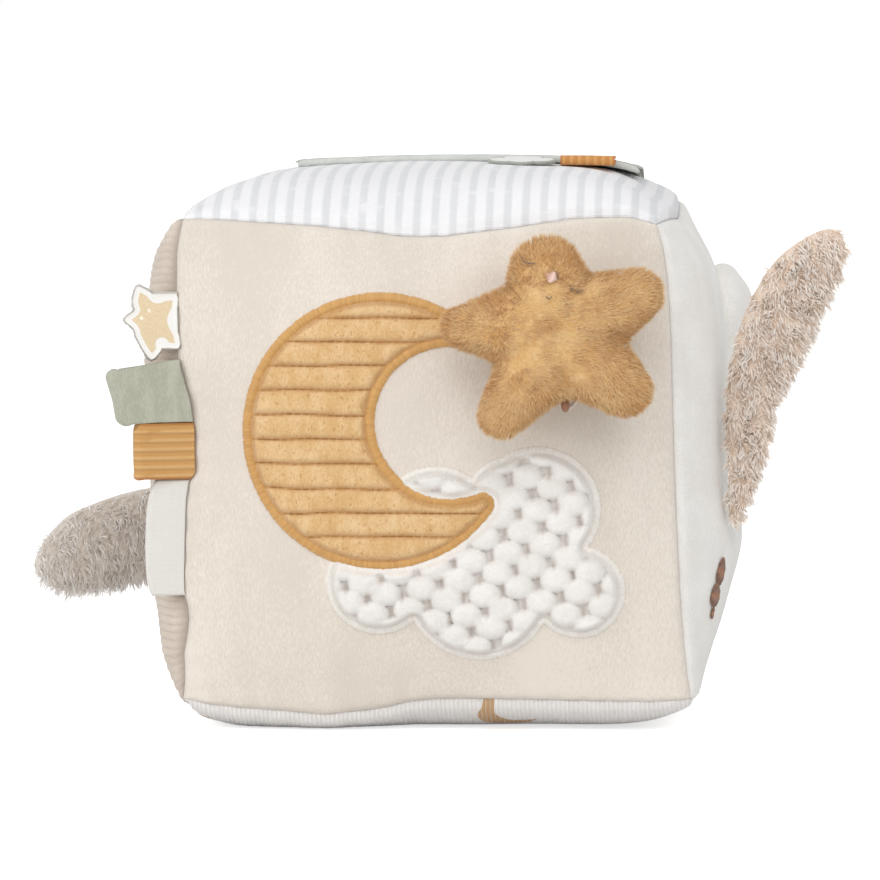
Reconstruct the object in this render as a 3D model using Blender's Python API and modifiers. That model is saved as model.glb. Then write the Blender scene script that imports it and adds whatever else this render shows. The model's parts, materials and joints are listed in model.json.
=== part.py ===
"""Soft fabric activity block: a stuffed cube of six panels with a moon and a cloud sewn on,
a plush star on a pull cord, ribbon tags, a top flap and two plush ears.

X runs to the right, Y to the back and Z up. The origin is the middle of the flat that the
block rests on. Lengths are metres.
"""

import math

import bmesh
import bpy
from mathutils import Matrix, Vector

# Cube
cube_edge = 0.143
panel_thickness = 0.0022
front_crown = 0.008
back_crown = 0.010
side_crown = 0.014
top_crown = 0.0120
bottom_crown = 0.0095
rest_cut = 0.0005
front_draw = 0.0025
back_draw = 0.0025
side_draw = 0.0015
top_draw = 0.0042
bottom_draw = 0.001
cube_lean = 0.005
crown_power = 4
full_crown_power = 8
left_seam_sag = 0.006
corner_pull_share = 0.02
corner_power = 8
edge_crowding_share = 0.25
panel_cells = 10

# Gaps between pieces that touch, and how far a cutter passes a face
touch_gap = 0.0003
overrun = 0.004

# Moon and cloud
moon_place = (-0.0152, 0.0889)
moon_radius = 0.0406
moon_bite_radius = 0.0216
moon_bite_shift = (0.0201, 0.0030)
moon_tip_radius = 0.0042
moon_thickness = 0.0026
moon_channel_pitch = 0.0071
moon_channel_share = 0.45
cloud_place = (0.0124, 0.0534)
cloud_width = 0.0875
cloud_thickness = 0.0030
# Each lobe's centre and radius, as shares of the cloud's width, from the right hand lobe round
cloud_lobe_shares = (
    (0.343, -0.127, 0.157),
    (0.207, 0.150, 0.212),
    (0.122, 0.169, 0.160),
    (-0.126, 0.078, 0.217),
    (-0.323, -0.097, 0.177),
    (0.013, -0.113, 0.247),
)
stitch_width = 0.0027
stitch_height = 0.0018

# Star and its pull cord
star_place = (0.0361, -0.0960, 0.1185)
star_reach = 0.0335
star_thickness = 0.0190
star_cover_thickness = 0.0012
# Each arm's turn from the right in degrees, then its length, its tip's radius and the depth of
# the notch that follows it, all as shares of the reach
star_arm_shares = (
    (-123.0, 1.010, 0.21, 0.540),
    (-37.5, 1.010, 0.24, 0.655),
    (28.5, 1.035, 0.24, 0.590),
    (104.0, 0.875, 0.30, 0.573),
    (175.2, 0.967, 0.17, 0.567),
)
pillow_power = 2.4
pillow_root = 0.6
cord_diameter = 0.0020
knot_radius = 0.0018
eyelet_radius = 0.0032
eyelet_rim_height = 0.0008
eyelet_bore_clearance = 0.0004
eyelet_wall = 0.0008

# Pull unit
case_setback = 0.0022
case_radius = 0.0165
case_width = 0.0150
case_wall = 0.0012
drum_radius = 0.0080
drum_width = 0.0050
flange_radius = 0.0115
flange_thickness = 0.0010
shaft_radius = 0.0020
shaft_clearance = 0.00015
spring_pocket_radius = 0.0066
spring_thickness = 0.0003
spring_width = 0.0038
spring_turns = 3.5
weight_radius = 0.0100
weight_thickness = 0.0020

# Rattle
rattle_radius = 0.0140
rattle_wall = 0.0012
rattle_ball_radius = 0.0042
rattle_setback = 0.012

# Ribbon tags in the front left seam, from the top down, each a gap below the one above
tag_gap = 0.0003
tag_turn_degrees = 12
tag_root_lap = 0.0004
star_tag_height = 0.1206
star_tag_drop = 0.0113
star_tag_reach = 0.0112
star_tag_tab = 0.0165
star_tag_thickness = 0.0012
green_loop_length = 0.0225
green_loop_width = 0.0182
green_loop_bulb = 0.0060
green_loop_thickness = 0.0012
ochre_loop_length = 0.0180
ochre_loop_width = 0.0164
ochre_loop_bulb = 0.0048
ochre_loop_thickness = 0.0008
label_length = 0.0126
label_width = 0.0340
label_bulb = 0.0022
label_thickness = 0.0004

# Top flap with its leaf tag and loop
flap_fabric_thickness = 0.0005
flap_film_thickness = 0.00015
flap_left_share = -0.62
flap_right_share = 0.83
flap_front_share = 0.30
flap_back_share = 0.90
flap_lift = 0.0015
flap_cells = (18, 10)
flap_margin = 0.003
leaf_tag_share = 0.350
leaf_tag_length = 0.0215
leaf_tag_thickness = 0.0010
leaf_tag_droop_degrees = 1
# Each of its lobes' centre and radius, as shares of its length, from the root round
leaf_lobe_shares = (
    (0.30, 0.00, 0.30),
    (0.66, -0.24, 0.24),
    (0.80, 0.00, 0.20),
    (0.66, 0.24, 0.24),
)
flap_loop_share = 0.622
flap_loop_length = 0.0150
flap_loop_bulb = 0.0030

# Ears
ear_pile_depth = 0.0060
ear_back_depth = 0.0030
ear_root_depth = 0.0085
right_ear_width = 0.0385
right_ear_height = 0.0870
right_ear_foot = (0.0592, -0.0470)
right_ear_turn_degrees = 16
# The right ear's outline as shares of its width and height, from its lower tip round
right_ear_shares = (
    (0.12, 0.00),
    (0.29, 0.14),
    (0.37, 0.25),
    (0.45, 0.40),
    (0.62, 0.51),
    (0.75, 0.63),
    (0.87, 0.74),
    (1.01, 0.87),
    (1.06, 0.96),
    (0.94, 1.01),
    (0.74, 1.00),
    (0.48, 0.94),
    (0.30, 0.84),
    (0.15, 0.71),
    (0.05, 0.55),
    (0.02, 0.38),
    (0.03, 0.23),
    (0.04, 0.08),
)
ear_root_face_share = (0.04, 0.52)
ear_root_height_share = (0.20, 0.79)
left_ear_width = 0.0280
left_ear_root_height = 0.0500
left_ear_bend = (-0.1030, 0.0600, 0.0462)
left_ear_tip = (-0.1258, 0.0000, 0.0425)
# The left ear's outline as shares of its width and of its length, from the root's lower corner round
left_ear_shares = (
    (-0.30, 0.00),
    (0.30, 0.00),
    (0.44, 0.18),
    (0.50, 0.42),
    (0.47, 0.66),
    (0.36, 0.86),
    (0.00, 1.00),
    (-0.36, 0.90),
    (-0.50, 0.68),
    (-0.50, 0.42),
    (-0.42, 0.18),
)

# Sizes that follow from the ones above
half_edge = cube_edge / 2
centre_height = half_edge + bottom_crown - rest_cut
seam_share = touch_gap / math.sqrt(2) / half_edge
filling_inset = panel_thickness + touch_gap
case_half_width = case_width / 2
green_loop_height = star_tag_height - star_tag_drop - green_loop_width / 2
ochre_loop_height = green_loop_height - (green_loop_width + ochre_loop_width) / 2 - tag_gap
label_height = ochre_loop_height - (ochre_loop_width + label_width) / 2 - tag_gap
cord_radius = cord_diameter / 2
merge_distance = touch_gap / 100

crowns = {
    (0, -1): side_crown,
    (0, 1): side_crown,
    (1, -1): front_crown,
    (1, 1): back_crown,
    (2, -1): bottom_crown,
    (2, 1): top_crown,
}
draws = {
    (0, -1): side_draw,
    (0, 1): side_draw,
    (1, -1): front_draw,
    (1, 1): back_draw,
    (2, -1): bottom_draw,
    (2, 1): top_draw,
}
LEFT, RIGHT, FRONT, BACK, BOTTOM, TOP = crowns
full_faces = (LEFT, TOP)

COLOURS = {
    "beige_velour": (0.78, 0.70, 0.64, 0.85),
    "taupe_rib": (0.60, 0.52, 0.45, 0.9),
    "white_plush": (0.80, 0.77, 0.72, 0.9),
    "popcorn_plush": (0.83, 0.81, 0.77, 0.9),
    "striped_cotton": (0.84, 0.83, 0.82, 0.8),
    "white_rib": (0.82, 0.80, 0.77, 0.9),
    "fibre": (0.86, 0.85, 0.83, 1.0),
    "gold_plush": (0.71, 0.46, 0.20, 0.9),
    "gold_thread": (0.62, 0.34, 0.09, 0.5),
    "cream_thread": (0.80, 0.76, 0.68, 0.5),
    "mustard_plush": (0.62, 0.39, 0.14, 0.9),
    "brown_cord": (0.27, 0.11, 0.06, 0.8),
    "sage_velour": (0.47, 0.51, 0.43, 0.9),
    "sage_cotton": (0.52, 0.54, 0.48, 0.85),
    "ochre_ribbon": (0.60, 0.31, 0.10, 0.7),
    "white_satin": (0.84, 0.83, 0.81, 0.4),
    "shaggy_plush": (0.63, 0.52, 0.42, 1.0),
    "film": (0.80, 0.80, 0.80, 0.3),
    "abs": (0.75, 0.75, 0.73, 0.4),
    "spring_steel": (0.55, 0.55, 0.57, 0.3),
}


def material(name):
    """The material of that name, made the first time it is asked for."""
    found = bpy.data.materials.get(name)
    if found:
        return found
    red, green, blue, roughness = COLOURS[name]
    made = bpy.data.materials.new(name)
    made.use_nodes = True
    shader = made.node_tree.nodes["Principled BSDF"]
    shader.inputs["Base Color"].default_value = (red, green, blue, 1)
    shader.inputs["Roughness"].default_value = roughness
    shader.inputs["Metallic"].default_value = 1 if name == "spring_steel" else 0
    made.diffuse_color = (red, green, blue, 1)
    return made


def new_collection(name):
    collection = bpy.data.collections.new(name)
    bpy.context.scene.collection.children.link(collection)
    return collection


def keep(obj, finish):
    """Puts a finished piece in the block's collection with its material."""
    obj.data.materials.clear()
    obj.data.materials.append(material(finish))
    block.objects.link(obj)
    return obj


def mesh_piece(name, bm, finish):
    """A piece from bmesh geometry, all its faces turned outwards."""
    bmesh.ops.recalc_face_normals(bm, faces=bm.faces)
    mesh = bpy.data.meshes.new(name)
    bm.to_mesh(mesh)
    bm.free()
    mesh.shade_smooth()
    mesh.set_sharp_from_angle(angle=math.radians(40))
    return keep(bpy.data.objects.new(name, mesh), finish)


def hide_cutter(obj):
    """Moves a cutter to the collection that isn't shown."""
    for home in obj.users_collection:
        home.objects.unlink(obj)
    cutters.objects.link(obj)
    obj.display_type = "WIRE"
    obj.hide_render = True
    return obj


def cut(piece, cutter, operation="DIFFERENCE"):
    """Cuts a piece with a closed cutter, or keeps or adds what they share."""
    step = piece.modifiers.new(cutter.name, "BOOLEAN")
    step.operation = operation
    step.solver = "EXACT"
    step.object = cutter


def cylinder_cutter(name, start, end, radius):
    """A round bar from start to end, for boring a hole."""
    axis = end - start
    bm = bmesh.new()
    bmesh.ops.create_cone(
        bm, cap_ends=True, segments=24, radius1=radius, radius2=radius, depth=axis.length
    )
    turn = axis.to_track_quat("Z", "Y").to_matrix().to_4x4()
    bmesh.ops.transform(bm, matrix=Matrix.Translation((start + end) / 2) @ turn, verts=bm.verts)
    return hide_cutter(mesh_piece(name, bm, "fibre"))


def crowned_point(point, inset=0):
    """The stuffed cube's skin over a point of the unit cube, moved in by inset.

    Each panel is crowned in its middle, the fuller ones up to near their seams. Each seam is
    drawn in between its corners, the one at the bottom left sags, the corners are rounded,
    the whole leans a little and the bottom is flat where it rests.
    """
    place = Vector((0, 0, 0))
    for axis in range(3):
        side = 1 if point[axis] > 0 else -1
        a, b = point[(axis + 1) % 3], point[(axis + 2) % 3]
        drawn = (1 - a * a) * b * b + (1 - b * b) * a * a
        place[axis] = point[axis] * (half_edge - inset - draws[axis, side] * drawn)
        if abs(point[axis]) == 1:
            power = full_crown_power if (axis, side) in full_faces else crown_power
            crown = (1 - abs(a) ** power) * (1 - abs(b) ** power)
            place[axis] += side * crowns[axis, side] * crown
    corner = abs(point[0] * point[1] * point[2]) ** corner_power
    place *= 1 - corner_pull_share * corner
    place.x -= cube_lean * place.z / cube_edge
    low_left = (max(-point[0], 0) * max(-point[2], 0)) ** 4
    place.z -= left_seam_sag * low_left * (1 - point[1] ** 4)
    place.z = max(place.z + centre_height, inset)
    return place


def face_point(face, a, b):
    """A point of the unit cube on one face, from its two places on that face."""
    axis, side = face
    point = [0, 0, 0]
    point[axis], point[(axis + 1) % 3], point[(axis + 2) % 3] = side, a, b
    return point


def spread(share):
    """Crowds the grid lines of a face a little towards its edges."""
    return share * (1 + edge_crowding_share) - edge_crowding_share * share**3


def on_face(face, first, second, lift=0):
    """The point lift above a panel whose two other coordinates are first and second.

    They are given in the order of the axes that follow the face's own: Y and Z on a side,
    Z and X on the front or back, X and Y on the top or bottom.
    """
    axis = face[0]
    across, along = (axis + 1) % 3, (axis + 2) % 3
    wanted = {across: first, along: second}
    centre = {0: 0, 1: 0, 2: centre_height}
    a = (first - centre[across]) / half_edge
    b = (second - centre[along]) / half_edge
    for _ in range(8):
        place = crowned_point(face_point(face, a, b), -lift)
        a += (wanted[across] - place[across]) / half_edge
        b += (wanted[along] - place[along]) / half_edge
    return crowned_point(face_point(face, a, b), -lift)


def sheet(cells_across, cells_along):
    """A flat grid whose vertices remember their places on it, from -1 to 1 both ways."""
    bm = bmesh.new()
    across = bm.verts.layers.float.new("across")
    along = bm.verts.layers.float.new("along")
    bmesh.ops.create_grid(bm, x_segments=cells_across, y_segments=cells_along, size=1)
    for vert in bm.verts:
        vert[across], vert[along] = vert.co.x, vert.co.y
    return bm


def disc(spokes, rings):
    """A flat disc whose vertices remember their spoke's number and their share of its length."""
    bm = sheet(spokes, rings)
    across, along = bm.verts.layers.float["across"], bm.verts.layers.float["along"]
    for vert in bm.verts:
        turn, reach = (1 + vert[across]) / 2, math.sin(math.pi * (1 + vert[along]) / 4)
        vert[across], vert[along] = round(turn * spokes) % spokes, reach
        vert.co = (reach * math.cos(math.tau * turn), reach * math.sin(math.tau * turn), 0)
    bmesh.ops.remove_doubles(bm, verts=bm.verts, dist=0.001)
    return bm


def thicken(bm, outer, inner):
    """Makes a sheet or disc a closed solid. outer and inner say where its two sides lie."""
    across, along = bm.verts.layers.float["across"], bm.verts.layers.float["along"]
    first = list(bm.verts)
    made = bmesh.ops.extrude_face_region(bm, geom=bm.faces[:])["geom"]
    second = [item for item in made if isinstance(item, bmesh.types.BMVert)]
    for verts, place in ((first, outer), (second, inner)):
        for vert in verts:
            vert.co = place(vert[across], vert[along])
    bmesh.ops.remove_doubles(bm, verts=bm.verts, dist=merge_distance)
    return bm


def facet(bm):
    """Splits bent faces on their shorter diagonals, so that nested surfaces keep their gap."""
    bmesh.ops.triangulate(bm, faces=bm.faces, quad_method="SHORT_EDGE")


def closed_spline(points, steps):
    """A smooth closed outline through the points, with this many places for each of them."""
    places = []
    for i in range(len(points)):
        a, b, c, d = (points[(i + k - 1) % len(points)] for k in range(4))
        for step in range(steps):
            t = step / steps
            bend = (c - a) * t + (2 * a - 5 * b + 4 * c - d) * t**2 + (3 * b - a - 3 * c + d) * t**3
            places.append(b + bend / 2)
    return places


def inset_outline(points, distance):
    """A counter-clockwise outline moved in by a distance."""
    moved = []
    for before, point, after in zip(points[-1:] + points[:-1], points, points[1:] + points[:1]):
        run = (after - before).normalized()
        moved.append(point + Vector((-run.y, run.x)) * distance)
    return moved


def bearing(origin, target):
    return math.atan2(target.y - origin.y, target.x - origin.x)


def arc(centre, radius, start, end, count, clockwise=False):
    """Points along an arc from the start angle to the end angle, both included."""
    sweep = (start - end) % math.tau if clockwise else (end - start) % math.tau
    turn = -sweep if clockwise else sweep
    angles = [start + turn * i / count for i in range(count + 1)]
    return [centre + radius * Vector((math.cos(angle), math.sin(angle))) for angle in angles]


def crossings(first, first_radius, second, second_radius):
    """The two points where two circles cross, the one on the left of first to second first."""
    gap = second - first
    along = (gap.length_squared + first_radius**2 - second_radius**2) / (2 * gap.length)
    rise = math.sqrt(first_radius**2 - along**2)
    foot = first + gap.normalized() * along
    side = Vector((-gap.y, gap.x)).normalized() * rise
    return foot + side, foot - side


def crescent(inset=0):
    """The moon's outline, counter-clockwise, moved in by inset."""
    full = Vector(moon_place)
    bite = full + Vector(moon_bite_shift)
    upper, lower = crossings(
        full, moon_radius - moon_tip_radius, bite, moon_bite_radius + moon_tip_radius
    )
    tip = moon_tip_radius - inset
    rim = moon_radius - inset
    hollow = moon_bite_radius + inset
    return (
        arc(full, rim, bearing(full, upper), bearing(full, lower), 36)[:-1]
        + arc(lower, tip, bearing(full, lower), bearing(lower, bite), 5)[:-1]
        + arc(bite, hollow, bearing(bite, lower), bearing(bite, upper), 22, clockwise=True)[:-1]
        + arc(upper, tip, bearing(upper, bite), bearing(full, upper), 5)[:-1]
    )


def lobed_outline(lobes, steps, inset=0):
    """The outer outline of a ring of circles that cross, counter-clockwise, moved in by inset."""
    middle = sum((centre for centre, _ in lobes), Vector((0, 0))) / len(lobes)
    joins = []
    for (a, a_radius), (b, b_radius) in zip(lobes, lobes[1:] + lobes[:1]):
        joins.append(max(crossings(a, a_radius, b, b_radius), key=lambda p: (p - middle).length))
    places = []
    for i, (centre, radius) in enumerate(lobes):
        start, end = joins[i - 1], joins[i]
        following = lobes[(i + 1) % len(lobes)][0]
        reach = radius - inset
        places += arc(centre, reach, bearing(centre, start), bearing(centre, end), steps)[:-1]
        if inset:
            turn = bearing(end, centre), bearing(end, following)
            places += arc(end, inset, *turn, 3, clockwise=True)[:-1]
    return places


def cloud_outline(inset=0):
    """The cloud's outline, counter-clockwise, moved in by inset."""
    middle = Vector(cloud_place)
    lobes = [
        (middle + Vector((x, z)) * cloud_width, radius * cloud_width)
        for x, z, radius in cloud_lobe_shares
    ]
    return lobed_outline(lobes, 10, inset)


def plate(name, outlines, thickness, matrix, finish):
    """A flat plate with the given outline, and holes if more outlines follow."""
    curve = bpy.data.curves.new(name, "CURVE")
    curve.dimensions = "2D"
    curve.fill_mode = "BOTH"
    curve.extrude = thickness / 2
    for outline in outlines:
        spline = curve.splines.new("POLY")
        spline.points.add(len(outline) - 1)
        for point, place in zip(spline.points, outline):
            point.co = (place.x, place.y, 0, 1)
        spline.use_cyclic_u = True
    obj = keep(bpy.data.objects.new(name, curve), finish)
    obj.matrix_world = matrix
    return obj


def as_mesh(obj):
    """Turns a curve object into a closed mesh object of the same name and place."""
    bpy.context.view_layer.update()
    name, matrix, finish = obj.name, obj.matrix_world.copy(), obj.data.materials[0].name
    evaluated = obj.evaluated_get(bpy.context.evaluated_depsgraph_get())
    bm = bmesh.new()
    bm.from_mesh(bpy.data.meshes.new_from_object(evaluated))
    bpy.data.objects.remove(obj)
    bmesh.ops.remove_doubles(bm, verts=bm.verts, dist=merge_distance)
    made = mesh_piece(name, bm, finish)
    made.name = name
    made.matrix_world = matrix
    return made


facing_front = Matrix.Rotation(math.radians(90), 4, "X")


def prism_cutter(name, outline):
    """The outline as a bar that runs right through the front panel."""
    depth = cube_edge + front_crown
    matrix = Matrix.Translation((0, -half_edge, 0)) @ facing_front
    return hide_cutter(as_mesh(plate(name, [outline], depth, matrix, "fibre")))


def turned(name, profile, matrix, finish, steps=28):
    """A body of revolution from (radius, height) pairs, top to bottom on the outer side."""
    mesh = bpy.data.meshes.new(name)
    closed = profile[0][0] > 0
    count = len(profile)
    edges = [(i, i + 1) for i in range(count - 1)] + ([(count - 1, 0)] if closed else [])
    mesh.from_pydata([(radius, 0, height) for radius, height in profile], edges, [])
    obj = keep(bpy.data.objects.new(name, mesh), finish)
    obj.matrix_world = matrix
    screw = obj.modifiers.new("turn", "SCREW")
    screw.steps = screw.render_steps = steps
    screw.use_merge_vertices = True
    screw.merge_threshold = merge_distance
    return obj


def quarter(radius, start, end, count):
    """(radius, height) pairs on a circle about the turning axis, between two angles in degrees."""
    angles = [math.radians(start + (end - start) * i / count) for i in range(count + 1)]
    return [(max(radius * math.cos(a), 0), radius * math.sin(a)) for a in angles]


def make_panels():
    """The six panels of the cube, mitred against each other at the seams."""
    finishes = {
        "front_panel": (FRONT, "beige_velour"),
        "back_panel": (BACK, "white_plush"),
        "left_panel": (LEFT, "taupe_rib"),
        "right_panel": (RIGHT, "white_plush"),
        "top_panel": (TOP, "striped_cotton"),
        "bottom_panel": (BOTTOM, "white_rib"),
    }
    panels = {}
    for name, (face, finish) in finishes.items():

        def at(a, b, inset=0, face=face):
            reach = 1 - seam_share
            return crowned_point(face_point(face, reach * spread(a), reach * spread(b)), inset)

        bm = thicken(
            sheet(panel_cells, panel_cells), at, lambda a, b, at=at: at(a, b, panel_thickness)
        )
        facet(bm)
        panels[name] = mesh_piece(name, bm, finish)
    return panels


def make_filling():
    """The fibre filling, which follows the panels' inner faces."""
    bm = bmesh.new()
    bmesh.ops.create_cube(bm, size=2)
    bmesh.ops.subdivide_edges(bm, edges=bm.edges, cuts=panel_cells - 1, use_grid_fill=True)
    for vert in bm.verts:
        point = [spread(round(value, 6)) for value in vert.co]
        vert.co = crowned_point(point, filling_inset)
    facet(bm)
    return mesh_piece("fibre_filling", bm, "fibre")


def front_sheet(name, low, high, cells, lift, finish):
    """A sheet on the front panel between two corners, as thick as lift says at each row."""

    def at(a, b, height):
        x = low[0] + (high[0] - low[0]) * (1 + a) / 2
        z = low[1] + (high[1] - low[1]) * (1 + b) / 2
        return on_face(FRONT, z, x, height)

    bm = thicken(
        sheet(*cells), lambda a, b: at(a, b, touch_gap + lift(b)), lambda a, b: at(a, b, touch_gap)
    )
    return mesh_piece(name, bm, finish)


def make_moon():
    """The channelled moon patch and the satin stitches round it."""
    rim = prism_cutter("moon_rim_cutter", crescent())
    field = prism_cutter("moon_field_cutter", crescent(stitch_width))
    inside = prism_cutter("moon_patch_cutter", crescent(stitch_width + touch_gap))
    centre = Vector(moon_place)
    channels = math.ceil(moon_radius / moon_channel_pitch)
    reach = Vector((moon_radius, channels * moon_channel_pitch))
    low, high = centre - reach, centre + reach
    rows = 4 * channels

    def channelled(b):
        row = round(rows * (1 + b) / 2)
        return moon_thickness * (moon_channel_share if row % 2 == 0 else 1)

    patch = front_sheet("moon_patch", low, high, (9, rows), channelled, "gold_plush")
    cut(patch, inside, "INTERSECT")
    stitches = front_sheet(
        "moon_edge_stitches", low, high, (10, 12), lambda b: stitch_height, "gold_thread"
    )
    cut(stitches, rim, "INTERSECT")
    cut(stitches, field)


def make_cloud():
    """The cloud patch and the satin stitches round it, both cut off at the moon's edge."""
    rim = prism_cutter("cloud_rim_cutter", cloud_outline())
    field = prism_cutter("cloud_field_cutter", cloud_outline(stitch_width))
    inside = prism_cutter("cloud_patch_cutter", cloud_outline(stitch_width + touch_gap))
    over = prism_cutter("moon_over_cloud_cutter", crescent(-touch_gap))
    centre = Vector(cloud_place)
    reach = Vector((cloud_width, cloud_width)) * 0.55
    low, high = centre - reach, centre + reach
    patch = front_sheet(
        "cloud_patch", low, high, (10, 9), lambda b: cloud_thickness, "popcorn_plush"
    )
    cut(patch, inside, "INTERSECT")
    cut(patch, over)
    stitches = front_sheet(
        "cloud_edge_stitches", low, high, (10, 9), lambda b: stitch_height, "cream_thread"
    )
    cut(stitches, rim, "INTERSECT")
    cut(stitches, field)
    cut(stitches, over)


def star_points(reach, arms):
    """Outline points of a plump five-armed star: three round each tip and one in each notch."""
    points = []
    for (turn, length, tip, notch), following in zip(arms, arms[1:] + arms[:1]):
        angle = math.radians(turn)
        forward = Vector((math.cos(angle), math.sin(angle)))
        left = Vector((-forward.y, forward.x))
        radius = tip * reach
        centre = forward * (length * reach - radius)
        points += [centre - left * radius, centre + forward * radius, centre + left * radius]
        between = angle + math.radians((following[0] - turn) % 360) / 2
        points.append(notch * reach * Vector((math.cos(between), math.sin(between))))
    return points


def pillow(share):
    """How full a stuffed form is at a share of the way from its middle to its seam."""
    return max(1 - share**pillow_power, 0) ** pillow_root


star_outline = closed_spline(star_points(star_reach, star_arm_shares), 2)
lower_arms = star_arm_shares[0], star_arm_shares[1]
notch_angle = math.radians((lower_arms[0][0] + lower_arms[1][0]) / 2)
notch_depth = lower_arms[0][3] * star_reach
star_notch = Vector(star_place) + notch_depth * Vector(
    (math.cos(notch_angle), 0, math.sin(notch_angle))
)


def star_side(inset, side, rim):
    """Where one side of the star lies, moved in by inset. rim is the seam's half gap."""
    outline = inset_outline(star_outline, inset)

    def at(spoke, share):
        flat = outline[round(spoke)] * share
        depth = (star_thickness / 2 - inset) * pillow(share) + rim
        return Vector(star_place) + Vector((flat.x, side * depth, flat.y))

    return at


def make_star():
    """The star's two plush covers and its filling."""
    spokes = len(star_outline)
    pieces = []
    for name, side in (("star_front_cover", -1), ("star_back_cover", 1)):
        outer = star_side(0, side, touch_gap / 2)
        inner = star_side(star_cover_thickness, side, touch_gap / 2)
        pieces.append(mesh_piece(name, thicken(disc(spokes, 6), outer, inner), "mustard_plush"))
    inset = star_cover_thickness + touch_gap
    bm = thicken(disc(spokes, 6), star_side(inset, -1, 0), star_side(inset, 1, 0))
    pieces.append(mesh_piece("star_filling", bm, "fibre"))
    return pieces


# Where the cord leaves the front panel, and where its knot hangs at the star's notch
cord_x = star_notch.x
cord_z = star_notch.z - knot_radius - touch_gap
knot_place = Vector((cord_x, star_place[1], cord_z))
panel_front = on_face(FRONT, cord_z, cord_x)
panel_inside = on_face(FRONT, cord_z, cord_x, -panel_thickness)
drum_z = cord_z - cord_radius - touch_gap - drum_radius
case_place = Vector((cord_x, panel_inside.y + case_setback + case_radius, drum_z))
bore_radius = cord_radius + eyelet_bore_clearance
barrel_radius = bore_radius + eyelet_wall
facing_right = Matrix.Rotation(math.radians(90), 4, "Y")
facing_left = Matrix.Rotation(math.radians(-90), 4, "Y")


def make_cord(front_panel):
    """The pull cord, its knot at the star and the eyelet that it runs through."""
    start = Vector((cord_x, case_place.y, cord_z))
    end = Vector((cord_x, knot_place.y + knot_radius + touch_gap, cord_z))
    curve = bpy.data.curves.new("pull_cord", "CURVE")
    curve.dimensions = "3D"
    curve.bevel_depth = cord_radius
    curve.bevel_resolution = 2
    curve.use_fill_caps = True
    spline = curve.splines.new("POLY")
    count = 8
    spline.points.add(count)
    for i, point in enumerate(spline.points):
        point.co = (*start.lerp(end, i / count), 1)
    cord = keep(bpy.data.objects.new("pull_cord", curve), "brown_cord")

    knot_profile = quarter(knot_radius, 90, -90, 8)
    knot = turned(
        "cord_knot", knot_profile, Matrix.Translation(knot_place), "brown_cord", steps=12
    )

    barrel_hole = barrel_radius + touch_gap
    through = Vector((0, panel_thickness + overrun, 0))
    cut(
        front_panel,
        cylinder_cutter(
            "eyelet_hole_cutter", panel_front - through, panel_front + through, barrel_hole
        ),
    )
    seat = 2 * touch_gap
    profile = [
        (bore_radius, seat + eyelet_rim_height),
        (eyelet_radius, seat + eyelet_rim_height),
        (eyelet_radius, seat),
        (barrel_radius, seat),
        (barrel_radius, -panel_thickness),
        (bore_radius, -panel_thickness),
    ]
    turned(
        "cord_eyelet",
        profile,
        Matrix.Translation(panel_front) @ facing_front,
        "brown_cord",
        steps=20,
    )
    return cord, knot


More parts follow.
